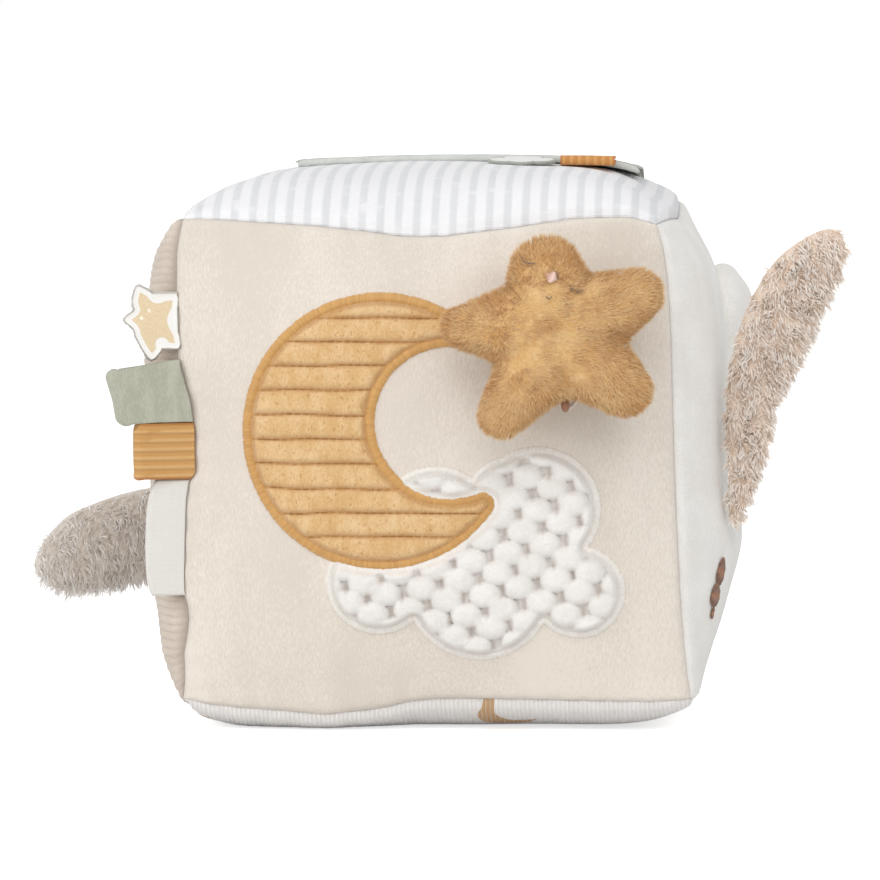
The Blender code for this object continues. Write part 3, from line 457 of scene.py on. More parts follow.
# The Plush hollow colours are painted shade for seams, creases, grooves and gaps; the gold plush also uses its one for
# real dark flecks. The Fur deep colours are painted shadow and the tone of the few dark strokes.
BEIGE_VELOUR = Plush(
    "beige_velour", "#E9E0D5", "#DBD2C6", "#A8998C", 0.0005, 0.00010, 0.028, stretch=(1, 1, 0.35)
)
TAUPE_RIB = Plush("taupe_rib", "#DED0C2", "#D1C3B5", "#94857A", 0.0005, 0.00012, 0.010)
WHITE_PLUSH = Plush("white_plush", "#F1EFEB", "#E8E5E0", "#C2BBB3", 0.0007, 0.00012, 0.015)
POPCORN = Plush("popcorn_plush", "#F2EFEB", "#E8E5E0", "#C3BAB2", 0.0006, 0.00018, 0.006)
GOLD_PLUSH = Plush(
    "gold_plush", "#E6C492", "#D7AD74", "#AE7838", 0.0004, 0.00016, 0.0035, 0.3, (1, 1, 0.5), 0.55
)
STAR_BASE = Plush("star_base", "#E0BB84", "#D2A566", "#C4924A", 0.0009, 0.0004, 0.005)
EAR_BASE = Plush("ear_base", "#F8E8D9", "#EED9C6", "#CBB099", 0.0012, 0.0005, 0.006)
STAR_FUR = Fur("star_fur", "#D8AC70", "#EECF9C", "#CF9858", "#94612F", 0.06)
EAR_FUR = Fur("ear_fur", "#F3DFCC", "#FFFAF5", "#F8EADC", "#C2A385", 0.05)
PALE_FUR = Fur("pale_fur", "#FAF5EF", "#FFFFFF", "#F8F1EA", "#D8CBBB", 0.04)
PALE_BASE = Plush("pale_base", "#FCFAF7", "#F4EEE7", "#DDD1C4", 0.0009, 0.0004, 0.010)
GOLD_THREAD = Thread("gold_thread", "#DFAD66", "#B5813F")
CREAM_THREAD = Thread("cream_thread", "#F8F4EE", "#E3DCD2")
BEIGE_THREAD = Thread("beige_thread", "#E6DACE", "#D0C3B6")
BROWN_THREAD = Thread("brown_thread", "#9A6A4C", "#6A4632")
PINK_THREAD = Thread("pink_thread", "#F0D3C6", "#D9AE9E")
DARK_THREAD = Thread("dark_thread", "#8A6E52", "#65503D")
STRIPED = Woven("striped_cotton", "#F3F3F5", "#E1E2E4", Way.X, 0.0053, 0.42, 0.26)
SAGE_VELOUR = Plush(
    "sage_velour", "#B8B9A8", "#A8A997", "#8A8D7B", 0.00045, 0.00012, 0.004, 0.3,
    stretch=(1, 1, 0.35)
)
SAGE_COTTON = Woven("sage_cotton", "#C5C8BF", "#B6BAB0", Way.Y, 0.0007, 0.5, 0.4)
OCHRE_RIBBON = Woven(
    "ochre_ribbon", "#CD9A5A", "#DCAE72", Way.Z, 0.0026, 0.45, 0.45, 0.0005, edge="#CB8442"
)
OCHRE_FLAT = Woven(
    "ochre_ribbon_flat", "#D9A05C", "#CB8A48", Way.X, 0.0024, 0.5, 0.35, 0.0003, edge="#C97F43"
)
WHITE_SATIN = Woven(
    "white_satin", "#E4E2DB", "#E1DED7", Way.Z, 0.0006, 0.5, 0.4, 0.00001, roughness=0.45
)


# ---- Mesh helpers


def deselect() -> None:
    """Leaves nothing selected."""
    bpy.ops.object.select_all(action="DESELECT")


def take(name: str, *finishes: Material) -> Piece:
    """Names the object that an operator has just made and gives it its materials."""
    made = bpy.context.object
    made.name = made.data.name = name
    for finish in finishes:
        made.data.materials.append(finish)
    return made


def points_of(piece: Piece) -> Array:
    """The piece's points as rows of X, Y and Z."""
    found = np.empty(len(piece.data.vertices) * 3)
    piece.data.vertices.foreach_get("co", found)
    return found.reshape(-1, 3)


def move_points(piece: Piece, places: Array) -> None:
    """Puts the piece's points in new places."""
    piece.data.vertices.foreach_set("co", np.ascontiguousarray(places, dtype=np.float32).ravel())
    piece.data.update()


def mark(piece: Piece, name: str, values: Array) -> None:
    """Keeps a number at each of the piece's points."""
    made = piece.data.attributes.new(name, "FLOAT", "POINT")
    made.data.foreach_set("value", np.ascontiguousarray(values, dtype=np.float32))


def smooth(piece: Piece) -> None:
    """Shades the piece smooth."""
    piece.data.polygons.foreach_set("use_smooth", [True] * len(piece.data.polygons))


def grid(name: str, across: int, along: int, finish: Material) -> tuple[Piece, Array, Array]:
    """A flat grid.

    Args:
        name: The piece's name.
        across: Cells one way.
        along: Cells the other way.
        finish: Its material.

    Returns:
        The piece, and its points' places both ways, from -1 to 1.
    """
    deselect()
    bpy.ops.mesh.primitive_grid_add(x_subdivisions=across, y_subdivisions=along, size=2)
    made = take(name, finish)
    flat = points_of(made)
    return made, flat[:, 0], flat[:, 1]


def apply(piece: Piece, kind: str, **settings: object) -> None:
    """Adds a modifier with these settings and applies it."""
    deselect()
    piece.select_set(True)
    bpy.context.view_layer.objects.active = piece
    step = piece.modifiers.new(kind.lower(), kind)
    for key, value in settings.items():
        setattr(step, key, value)
    bpy.ops.object.modifier_apply(modifier=step.name)


def thicken(piece: Piece, thickness: float, offset: float = -1.0) -> None:
    """Gives a sheet its thickness, inwards at an offset of -1."""
    apply(piece, "SOLIDIFY", thickness=thickness, offset=offset)


def cloth_area(piece: Piece) -> float:
    """The area of a piece of cloth, before it gets its thickness."""
    return sum(face.area for face in piece.data.polygons)


def face_outwards(piece: Piece) -> None:
    """Turns all of a closed piece's faces outwards."""
    deselect()
    piece.select_set(True)
    bpy.context.view_layer.objects.active = piece
    bpy.ops.object.mode_set(mode="EDIT")
    bpy.ops.mesh.select_all(action="SELECT")
    bpy.ops.mesh.normals_make_consistent(inside=False)
    bpy.ops.object.mode_set(mode="OBJECT")


def joined(name: str, pieces: Sequence[Piece]) -> Piece:
    """Joins pieces into the first of them."""
    deselect()
    for piece in pieces:
        piece.select_set(True)
    bpy.context.view_layer.objects.active = pieces[0]
    bpy.ops.object.join()
    pieces[0].name = pieces[0].data.name = name
    return pieces[0]


def from_faces(name: str, places: Array, faces: list, finish: Material) -> Piece:
    """A piece from points and faces, for threads and fibres."""
    mesh = bpy.data.meshes.new(name)
    mesh.from_pydata(places.tolist(), [], faces)
    made = bpy.data.objects.new(name, mesh)
    bpy.context.scene.collection.objects.link(made)
    mesh.materials.append(finish)
    smooth(made)
    return made


def tube_sides(rows: int, sides: int) -> list:
    """The side faces of a tube whose points are kept ring by ring."""
    steps = [(k, (k + 1) % sides) for k in range(sides)]
    return [
        (i * sides + k, i * sides + n, (i + 1) * sides + n, (i + 1) * sides + k)
        for i in range(rows - 1)
        for k, n in steps
    ]


def wander(places: Array, size: float, seed: float) -> Array:
    """Smooth noise from about -1 to 1 at each place."""
    shift = Vector((seed, seed * 2, seed * 3))
    return np.array([noise.noise(Vector(p) / size + shift) for p in places])


def report(piece: Piece) -> None:
    """Logs a finished piece."""
    log.info("%s: %d faces", piece.name, len(piece.data.polygons))


# ---- Outlines


def bearing(origin: Array, target: Array) -> float:
    """The angle from one point to another."""
    return math.atan2(target[1] - origin[1], target[0] - origin[0])


def arc(
    centre: Array, radius: float, start: float, end: float, count: int, clockwise: bool = False
) -> list[Array]:
    """Points along an arc, both ends included."""
    turn = -((start - end) % math.tau) if clockwise else (end - start) % math.tau
    angles = [start + turn * i / count for i in range(count + 1)]
    return [centre + radius * np.array((math.cos(a), math.sin(a))) for a in angles]


def crossings(
    first: Array, first_radius: float, second: Array, second_radius: float
) -> tuple[Array, Array]:
    """The two points where two circles cross, the one on the left of first to second first."""
    gap = second - first
    length = float(np.hypot(*gap))
    along = (length**2 + first_radius**2 - second_radius**2) / (2 * length)
    rise = math.sqrt(first_radius**2 - along**2)
    foot = first + gap * along / length
    side = np.array((-gap[1], gap[0])) * rise / length
    return foot + side, foot - side


def lobed(lobes: Sequence[tuple[Array, float]], steps: int) -> Array:
    """The outer outline of a ring of circles that cross, counter-clockwise."""
    middle = sum(centre for centre, _ in lobes) / len(lobes)
    joins = []
    for (a, a_radius), (b, b_radius) in zip(lobes, list(lobes[1:]) + list(lobes[:1])):
        joins.append(
            max(crossings(a, a_radius, b, b_radius), key=lambda p: np.hypot(*(p - middle)))
        )
    places: list[Array] = []
    for i, (centre, radius) in enumerate(lobes):
        places += arc(
            centre, radius, bearing(centre, joins[i - 1]), bearing(centre, joins[i]), steps
        )[:-1]
    return np.array(places)


def spline(points: Sequence[Sequence[float]], steps: int) -> Array:
    """A smooth closed outline through the points, with this many places for each of them."""
    knots = np.array(points, dtype=float)
    a, b, c, d = (np.roll(knots, 1 - k, axis=0) for k in range(4))
    places = []
    for step in range(steps):
        t = step / steps
        bend = (c - a) * t + (2 * a - 5 * b + 4 * c - d) * t**2 + (3 * b - a - 3 * c + d) * t**3
        places.append(b + bend / 2)
    return np.stack(places, axis=1).reshape(-1, 2)


def resampled(outline: Array, step: float) -> Array:
    """The closed outline again, with points a step apart."""
    ring = np.vstack([outline, outline[:1]])
    runs = np.hypot(*(ring[1:] - ring[:-1]).T)
    reach = np.concatenate([[0], np.cumsum(runs)])
    count = max(int(round(reach[-1] / step)), 8)
    at = np.linspace(0, reach[-1], count, endpoint=False)
    return np.stack([np.interp(at, reach, ring[:, k]) for k in (0, 1)], axis=1)


def depth_inside(outline: Array, places: Array) -> Array:
    """How far each place lies inside a closed outline, negative outside it."""
    ends = np.roll(outline, -1, axis=0)
    runs = ends - outline
    best = np.full(len(places), 1e9)
    inside = np.zeros(len(places), dtype=bool)
    for start, run, end in zip(outline, runs, ends):
        off = places - start
        share = np.clip((off @ run) / max(float(run @ run), 1e-18), 0, 1)
        best = np.minimum(best, np.hypot(*(off - share[:, None] * run).T))
        if start[1] != end[1]:
            between = (start[1] > places[:, 1]) != (end[1] > places[:, 1])
            meets = run[0] * (places[:, 1] - start[1]) / run[1] + start[0]
            inside ^= between & (places[:, 0] < meets)
    return np.where(inside, best, -best)


# ---- The cube's skin


def hump(values: Array, middle: float, width: float) -> Array:
    """A smooth rise from 0 to 1 and back round a middle value."""
    return np.exp(-(((values - middle) / width) ** 2))


@dataclass(frozen=True)
class CubeSkin:
    """The stuffed cube's shape, the same as that of its solids."""

    edge: float = 0.143
    centre: float = 0.0805
    lean: float = 0.005
    pull: float = 0.02
    sag: float = 0.006
    crowns: tuple = ((0.014, 0.014), (0.008, 0.010), (0.0095, 0.0120))
    powers: tuple = ((8, 4), (4, 4), (8, 8))
    draws: tuple = ((0.0015, 0.0015), (0.0025, 0.0025), (0.001, 0.0042))
    left_seam: tuple = (
        (
            -1.0, -0.8, -0.74, -0.66, -0.60, -0.55, -0.49, -0.37, -0.25, -0.17, -0.10, -0.06, 0.12,
            0.24, 0.30, 0.36, 0.41, 0.47, 0.57, 0.65, 0.85, 1.0
        ),
        (
            -3.2, -4.4, -3.6, -2.9, -3.4, -4.7, -4.7, -4.4, -4.0, -3.6, -2.7, -0.7, -0.4, -1.4,
            -2.5, -3.5, -3.8, -3.5, -3.3, -3.1, -2.3, -0.8
        ),
    )
    top_seam: tuple = (
        (-1.0, -0.45, -0.25, -0.1, 0.07, 0.2, 0.35, 0.6, 0.85, 1.0),
        (-0.3, -0.3, -1.2, -2.5, -2.5, -1.4, -0.4, 1.6, 1.9, 0.6)
    )
    bottom_seam: tuple = (
        (-1.0, -0.9, -0.67, -0.48, -0.27, -0.12, 0.0, 1.0),
        (-0.8, -2.0, -3.3, -4.8, -3.2, -0.7, 0.0, 0.0)
    )

    def sewn(self, unit: Array) -> Array:
        """How far the hand-sewn seams stray from the solid's.

        Each term's number is the most that it moves the skin, in millimetres.

        Args:
            unit: Rows of X, Y and Z from -1 to 1.

        Returns:
            The moves in metres.
        """
        x, y, z = unit.T
        left, right, near, low, high = (np.clip(v, 0, 1) for v in (-x, x, -y, -z, z))
        between = 1 - y * y
        move = np.zeros_like(unit)
        # The front left seam, and the left panel's foot behind it
        move[:, 0] = np.interp(z, *self.left_seam) * left**3 * near**2
        move[:, 0] -= 3.5 * left**3 * low**5 * (1 - near**2)
        # The right panel's low edge, its low fold and its high bulge
        move[:, 0] += right**3 * (2.6 * low**6 + 3.0 * hump(z, -0.4, 0.2) * between)
        move[:, 0] += right**3 * between * (2.4 * hump(z, 0.8, 0.25) + 0.8 * high**8)
        # The front panel's top and bottom seams
        move[:, 2] = np.interp(x, *self.top_seam) * (high * near) ** 3
        move[:, 2] += np.interp(x, *self.bottom_seam) * (low * near) ** 3
        # The top's right end, and the dent beside it
        move[:, 2] += between * (1.2 * (right * high) ** 6 - 1.7 * high**8 * hump(x, 0.88, 0.13))
        # The left panel's flatter top and foot, then the two front corners
        move[:, 0] += left**3 * between * (2.9 * hump(z, 0.70, 0.25) + 2.3 * hump(z, -0.84, 0.15))
        move[:, 0] -= 3.0 * (left * low * near) ** 10
        move += (right * near * high)[:, None] ** 4 * (-3.2, 1.5, -2.4)
        return move / 1000

    def at(self, unit: Array, lift: Array | float = 0.0) -> Array:
        """The skin over points of the unit cube.

        Args:
            unit: Rows of X, Y and Z from -1 to 1.
            lift: How far outside the skin.

        Returns:
            Rows of X, Y and Z in metres.
        """
        half = self.edge / 2
        place = np.zeros_like(unit)
        for axis in range(3):
            high = unit[:, axis] > 0
            side = np.where(high, 1, -1)
            a, b = unit[:, (axis + 1) % 3], unit[:, (axis + 2) % 3]
            drawn = (1 - a * a) * b * b + (1 - b * b) * a * a
            draw = np.where(high, self.draws[axis][1], self.draws[axis][0])
            crown = np.where(high, self.crowns[axis][1], self.crowns[axis][0])
            place[:, axis] = unit[:, axis] * (half + lift - draw * drawn)
            power = np.where(high, self.powers[axis][1], self.powers[axis][0])
            full = (1 - np.abs(a) ** power) * (1 - np.abs(b) ** power)
            place[:, axis] += np.where(np.abs(unit[:, axis]) > 1 - 1e-6, side * crown * full, 0)
        place *= 1 - self.pull * np.abs(unit.prod(axis=1, keepdims=True)) ** 8
        place[:, 0] -= self.lean * place[:, 2] / self.edge
        low_left = (np.maximum(-unit[:, 0], 0) * np.maximum(-unit[:, 2], 0)) ** 4
        place[:, 2] -= self.sag * low_left * (1 - unit[:, 1] ** 4)
        place += self.sewn(unit)
        place[:, 2] = np.maximum(place[:, 2] + self.centre, np.maximum(-lift, 0))
        return place

    def seam_x(self, heights: Array) -> Array:
        """Where the front left seam lies along X at heights."""
        unit = np.full((len(heights), 3), -1.0)
        unit[:, 2] = (heights - self.centre) / (self.edge / 2)
        return self.at(unit)[:, 0]

    def on_face(self, face: Face, a: Array, b: Array, lift: Array | float = 0.0) -> Array:
        """The skin over a face, at places from -1 to 1 along the two axes that follow its own."""
        axis, side = face.value
        unit = np.empty((len(a), 3))
        unit[:, axis], unit[:, (axis + 1) % 3], unit[:, (axis + 2) % 3] = side, a, b
        return self.at(unit, lift)

    def over(self, face: Face, first: Array, second: Array, lift: Array | float = 0.0) -> Array:
        """The skin over a face where its two other coordinates are first and second."""
        across, along = (face.value[0] + 1) % 3, (face.value[0] + 2) % 3
        centre = (0.0, 0.0, self.centre)
        a = (first - centre[across]) / (self.edge / 2)
        b = (second - centre[along]) / (self.edge / 2)
        for _ in range(8):
            place = self.on_face(face, a, b, lift)
            a = a + (first - place[:, across]) / (self.edge / 2)
            b = b + (second - place[:, along]) / (self.edge / 2)
        return self.on_face(face, a, b, lift)

    def front(self, x: Array, z: Array, lift: Array | float = 0.0) -> Array:
        """The front panel's skin at X and Z."""
        return self.over(Face.FRONT, z, x, lift)


SKIN = CubeSkin()


# ---- Threads and fibres


@dataclass(frozen=True)
class SatinBand:
    """A raised band of satin stitches along an outline, on a surface."""

    width: float
    height: float
    pitch: float = 0.00045
    rows: int = 8
    ragged: float = 0.00012

    def make(
        self,
        name: str,
        outline: Array,
        surface: Surface,
        finish: Material,
        height: Array | None = None
    ) -> Piece:
        """Sews the band.

        Args:
            name: The piece's name.
            outline: Its outer edge, counter-clockwise.
            surface: Gives places from two flat coordinates and a lift.
            finish: Its material.
            height: The share of its height along the outline, if it isn't 1.

        Returns:
            The band, a closed ring.
        """
        path = resampled(outline, self.pitch / 2)
        count = len(path) - len(path) % 2
        path = path[:count]
        run = np.roll(path, -2, axis=0) - np.roll(path, 2, axis=0)
        inward = np.stack([-run[:, 1], run[:, 0]], axis=1) / np.hypot(*run.T)[:, None]
        rng = np.random.default_rng(7)
        thread = np.repeat(rng.random(count // 2), 2)
        start = np.repeat(rng.normal(0, self.ragged, count // 2), 2)
        end = np.repeat(rng.normal(0, self.ragged, count // 2), 2)
        valley = np.tile([0.0, 1.0], count // 2)
        share = height if height is not None else np.ones(count)
        if height is not None:
            share = np.interp(
                np.arange(count) / count, np.arange(len(height)) / len(height), height
            )
        rings = []
        for k in range(self.rows + 1):
            s = k / self.rows
            offset = start * (1 - s) + (self.width + end) * s
            arch = math.sin(math.pi * s) ** 0.55 if 0 < k < self.rows else 0.0
            lift = share * self.height * arch * (1 - 0.13 * valley) + 0.0001
            flat = path + inward * offset[:, None]
            rings.append(surface(flat[:, 0], flat[:, 1], lift))
        places = np.stack(rings, axis=1).reshape(-1, 3)
        span = self.rows + 1
        faces = []
        for i in range(count):
            j = (i + 1) % count
            for k in range(span):
                m = (k + 1) % span
                faces.append((i * span + k, i * span + m, j * span + m, j * span + k))
        made = from_faces(name, places, faces, finish)
        mark(made, "thread", np.repeat(thread * 0.45, span))
        # Painted shade: darker in the valleys between threads and along the band's inner edge, where it meets the
        # cloth.
        lower = np.array([0.0] * (self.rows - 1) + [0.35, 0.6])
        mark(
            made,
            "hollow",
            np.clip(
                np.repeat(valley * 0.4, span)
                + np.tile(lower, count) * (0.6 + 0.4 * np.repeat(valley, span)),
                0,
                1
            )
        )
        face_outwards(made)
        return made


def thread(
    name: str,
    path: Array,
    radius: float,
    finish: Material,
    outwards: Sequence[float] = (0.0, -1.0, 0.0)
) -> Piece:
    """One stitch, as a closed round tube that narrows at its ends.

    Args:
        name: Its name.
        path: The points that it follows.
        radius: Half its width.
        finish: Its material.
        outwards: The way that the cloth under it faces.

    Returns:
        The stitch.
    """
    run = np.gradient(path, axis=0)
    run /= np.linalg.norm(run, axis=1)[:, None]
    side = np.cross(run, outwards)
    out = np.cross(side, run)
    count, sides = len(path), 8
    taper = np.sqrt(np.clip(np.minimum(np.arange(count), np.arange(count)[::-1]) / 3, 0.25, 1))
    twist = np.arange(count) * 0.9
    rings = []
    for k in range(sides):
        angle = math.tau * k / sides
        groove = 1 + 0.12 * np.cos(3 * angle + twist)
        rings.append(
            path
            + (side * math.cos(angle) + out * math.sin(angle)) * (radius * taper * groove)[:, None]
        )
    faces = tube_sides(count, sides)
    faces += [tuple(range(sides))[::-1], tuple((count - 1) * sides + k for k in range(sides))]
    made = from_faces(name, np.stack(rings, axis=1).reshape(-1, 3), faces, finish)
    face_outwards(made)
    mark(made, "thread", np.repeat(0.5 + 0.5 * np.sin(twist), sides))
    return made


@dataclass(frozen=True)
class Pile:
    """Fibres that stand on a surface, each a slim closed spike."""

    count: int
    length: float
    width: float
    stray: float = 0.35
    lay: tuple[float, float, float] = (0.0, 0.0, -0.5)
    bent: bool = False
    seed: int = 3
    clump: float = 0.004
    tufts: int = 0
    gather: float = 0.5
    rise: float = 1.0

    def grow(
        self,
        name: str,
        ground: Piece,
        finish: Material,
        bare: Callable[[Array], Array] | None = None,
        flow: Callable[[Array], Array] | None = None,
        shade: Callable[[Array], Array] | None = None
    ) -> Piece:
        """Grows the fibres.

        Args:
            name: The piece's name.
            ground: The mesh that they stand on.
            finish: Their material.
            bare: Says which places stay bare.
            flow: The way that the fibres lie at each place, added to their lay.
            shade: How much shade is painted on them at each place, from 0 to 1.

        Returns:
            All fibres as one piece.
        """
        mesh = ground.data
        mesh.calc_loop_triangles()
        corners = np.empty(len(mesh.loop_triangles) * 3, dtype=np.int64)
        mesh.loop_triangles.foreach_get("vertices", corners)
        spots = points_of(ground)[corners.reshape(-1, 3)]
        crossed = np.cross(spots[:, 1] - spots[:, 0], spots[:, 2] - spots[:, 0])
        area = np.linalg.norm(crossed, axis=1)
        rng = np.random.default_rng(self.seed)
        noise.seed_set(self.seed)
        chance = area if bare is None else area * ~bare(spots.mean(axis=1))
        chosen = rng.choice(len(spots), self.count, p=chance / chance.sum())
        u, v = rng.random(self.count), rng.random(self.count)
        flip = u + v > 1
        u, v = np.where(flip, 1 - u, u)[:, None], np.where(flip, 1 - v, v)[:, None]
        tri = spots[chosen]
        foot = tri[:, 0] + u * (tri[:, 1] - tri[:, 0]) + v * (tri[:, 2] - tri[:, 0])
        up = crossed[chosen] / area[chosen][:, None]
        clump = np.array(
            [noise.noise_vector(Vector(p) / self.clump + Vector((9.0, 0, 0))) for p in foot]
        )
        lay = np.array(self.lay) + (flow(foot) if flow else 0)
        way = self.rise * up + lay + self.stray * (1.6 * clump + rng.normal(0, 0.5, foot.shape))
        way /= np.linalg.norm(way, axis=1)[:, None]
        length = self.length * rng.uniform(0.6, 1.15, self.count)[:, None]
        side = np.cross(way, up + 0.35 * rng.normal(0, 1, foot.shape))
        side /= np.linalg.norm(side, axis=1)[:, None]
        ridge = np.cross(way, side)
        corners3 = [side, 0.55 * ridge, -side]
        radius = self.width / 2
        rows = [[foot - up * self.width + c * radius for c in corners3]]
        if self.bent:
            middle = foot + way * length * 0.5
            curl = way + self.stray * rng.normal(0, 0.9, foot.shape) + lay * 0.6
            curl /= np.linalg.norm(curl, axis=1)[:, None]
            rows.append([middle + c * radius * 0.8 for c in corners3])
            tip = middle + curl * length * 0.5
        else:
            tip = foot + way * length
        if self.tufts:
            leaders = rng.choice(self.count, self.tufts, replace=False)
            tree = KDTree(self.tufts)
            for spot, leader in enumerate(leaders):
                tree.insert(Vector(foot[leader]), spot)
            tree.balance()
            own = np.array([tree.find(Vector(p))[1] for p in foot])
            pulled = tip[leaders[own]] - tip
            tip = tip + self.gather * pulled
            if self.bent:
                rows[1] = [p + 0.35 * self.gather * pulled for p in rows[1]]
        verts = np.stack([p for row in rows for p in row] + [tip], axis=1)
        per = verts.shape[1]
        pattern = [(2, 1, 0)]
        for r in range(len(rows) - 1):
            for c in range(3):
                n = (c + 1) % 3
                pattern.append((3 * r + c, 3 * r + n, 3 * r + 3 + n, 3 * r + 3 + c))
        last = 3 * (len(rows) - 1)
        pattern += [(last + c, last + (c + 1) % 3, per - 1) for c in range(3)]
        faces = [tuple(i * per + k for k in face) for i in range(self.count) for face in pattern]
        made = from_faces(name, verts.reshape(-1, 3), faces, finish)
        made.data.polygons.foreach_set("use_smooth", [False] * len(faces))
        along = [0.0] * 3 + [0.5] * (per - 4) + [1.0]
        mark(made, "tip", np.tile(along, self.count))
        mark(made, "fibre", np.repeat(rng.random(self.count), per))
        # Painted shade at each fibre, from the shade function.
        if shade:
            mark(made, "shade", np.repeat(shade(foot), per))
        return made


def trim(piece: Piece, kept: Array) -> None:
    """Deletes the piece's points that aren't kept."""
    deselect()
    piece.select_set(True)
    bpy.context.view_layer.objects.active = piece
    mesh = piece.data
    mesh.polygons.foreach_set("select", [False] * len(mesh.polygons))
    mesh.edges.foreach_set("select", [False] * len(mesh.edges))
    mesh.vertices.foreach_set("select", ~kept)
    bpy.ops.object.mode_set(mode="EDIT")
    bpy.ops.mesh.delete(type="VERT")
    bpy.ops.object.mode_set(mode="OBJECT")


def patch(
    name: str, outline: Array, step: float, finish: Material, snap: bool = True
) -> tuple[Piece, Array, Array]:
    """A flat piece of cloth cut to an outline.

    Args:
        name: The piece's name.
        outline: Its edge, closed, in flat coordinates.
        step: The size of its cells.
        finish: Its material.
        snap: Whether its edge is drawn onto the outline.

    Returns:
        The piece, its flat places and how far inside the edge each lies.
    """
    low, high = outline.min(axis=0) - step, outline.max(axis=0) + step
    cells = np.ceil((high - low) / step).astype(int)
    made, a, b = grid(name, int(cells[0]), int(cells[1]), finish)
    flat = np.stack(
        [low[0] + (a + 1) / 2 * (high[0] - low[0]), low[1] + (b + 1) / 2 * (high[1] - low[1])],
        axis=1
    )
    inside = depth_inside(outline, flat)
    move_points(made, np.column_stack([flat, np.zeros(len(flat))]))
    trim(made, inside > -0.45 * step)
    flat = points_of(made)[:, :2]
    if snap:
        ends = np.roll(outline, -1, axis=0)
        edge = np.abs(depth_inside(outline, flat)) < 0.55 * step
        for i in np.flatnonzero(edge):
            run = ends - outline
            share = np.clip(
                ((flat[i] - outline) * run).sum(1) / np.maximum((run * run).sum(1), 1e-18), 0, 1
            )
            near = outline + share[:, None] * run
            flat[i] = near[np.argmin(np.hypot(*(near - flat[i]).T))]
    return made, flat, np.maximum(depth_inside(outline, flat), 0)


def box_size(flat: Array) -> tuple[float, float]:
    """The width and height of flat places."""
    size = flat.max(axis=0) - flat.min(axis=0)
    return float(size[0]), float(size[1])


def step_up(value: Array, low: float, high: float) -> Array:
    """A smooth step from 0 at low to 1 at high."""
    share = np.clip((value - low) / (high - low), 0, 1)
    return share * share * (3 - 2 * share)


def dressed(piece: Piece, body: str, *nodes: str) -> Piece:
    """Lets a finished piece ride on its body and stand for CAD nodes."""
    if not piece.name.endswith("_pile"):
        smooth(piece)
    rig.ride(piece, body)
    if nodes:
        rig.replaces(piece, *nodes)
    report(piece)
    return piece


# ---- The block's pieces


@dataclass
class Studio:
    """The camera at the photograph's angle, soft lights and a pale floor."""

    azimuth: float = math.radians(3.2)
    elevation: float = math.radians(4.5)
    distance: float = 1.8
    lens: float = 252.6
    aim: Vector = field(default_factory=lambda: Vector((0, -0.0715, 0.0805)))
    shift: tuple[float, float] = (0.00175, 0.00554)
    sky: float = 0.62
    key: float = 14.6

    def build(self) -> None:
        """Makes the whole stage."""
        self.camera()
        self.lamp("key_light", (0.3, -1.6, 1.4), 1.5, self.key)
        self.lamp("top_light", (0.2, 0.1, 2.0), 1.2, self.key * 0.06)
        self.lamp("fill_light", (-1.5, -1.1, 0.7), 1.2, self.key * 0.55)
        self.sky_and_floor()

    def camera(self) -> None:
        """Makes the camera."""
        a, e = self.azimuth, self.elevation
        back = Vector((math.sin(a) * math.cos(e), -math.cos(a) * math.cos(e), math.sin(e)))
        right = Vector((math.cos(a), math.sin(a), 0))
        up = back.cross(right)
        data = bpy.data.cameras.new("camera")
        data.lens = self.lens
        made = bpy.data.objects.new("camera", data)
        bpy.context.scene.collection.objects.link(made)
        made.location = self.aim + right * self.shift[0] + up * self.shift[1] + back * self.distance
        made.rotation_euler = (-back).to_track_quat("-Z", "Y").to_euler()
        bpy.context.scene.camera = made

    def lamp(self, name: str, place: Sequence[float], size: float, power: float) -> None:
        """Makes a square soft light that faces the block."""
        data = bpy.data.lights.new(name, "AREA")
        data.size, data.energy = size, power
        made = bpy.data.objects.new(name, data)
        bpy.context.scene.collection.objects.link(made)
        made.location = place
        made.rotation_euler = (self.aim - Vector(place)).to_track_quat("-Z", "Y").to_euler()

    def sky_and_floor(self) -> None:
        """Makes the white surroundings and a floor that keeps the shadow."""
        world = bpy.data.worlds.new("white")
        world.use_nodes = True
        bpy.context.scene.world = world
        tree = world.node_tree
        path = tree.nodes.new("ShaderNodeLightPath")
        seen = self.seen(tree, path)
        strength = tree.nodes.new("ShaderNodeMapRange")
        tree.links.new(seen, strength.inputs["Value"])
        strength.inputs["To Min"].default_value = self.sky
        tree.links.new(strength.outputs[0], tree.nodes["Background"].inputs["Strength"])
        tree.nodes["Background"].inputs["Color"].default_value = (1, 1, 1, 1)

        deselect()
        bpy.ops.mesh.primitive_plane_add(size=14, location=(0, 0, -0.0002))
        paint = Paint("floor", 0.9)
        paint.colour((0.90, 0.90, 0.90, 1))
        shine = self.seen(paint.tree, paint.node("ShaderNodeLightPath"))
        paint.shader.inputs["Emission Color"].default_value = (1, 1, 1, 1)
        lit = paint.math("MULTIPLY", shine, 0.62)
        paint.tree.links.new(lit, paint.shader.inputs["Emission Strength"])
        floor = take("floor", paint.material)
        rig.stage(floor)

    @staticmethod
    def seen(tree: bpy.types.NodeTree, path: bpy.types.Node) -> Socket:
        """1 where the camera, a reflection or a clear surface looks."""
        first, second = tree.nodes.new("ShaderNodeMath"), tree.nodes.new("ShaderNodeMath")
        first.operation = second.operation = "MAXIMUM"
        tree.links.new(path.outputs["Is Camera Ray"], first.inputs[0])
        tree.links.new(path.outputs["Is Glossy Ray"], first.inputs[1])
        tree.links.new(first.outputs[0], second.inputs[0])
        tree.links.new(path.outputs["Is Transmission Ray"], second.inputs[1])
        return second.outputs[0]


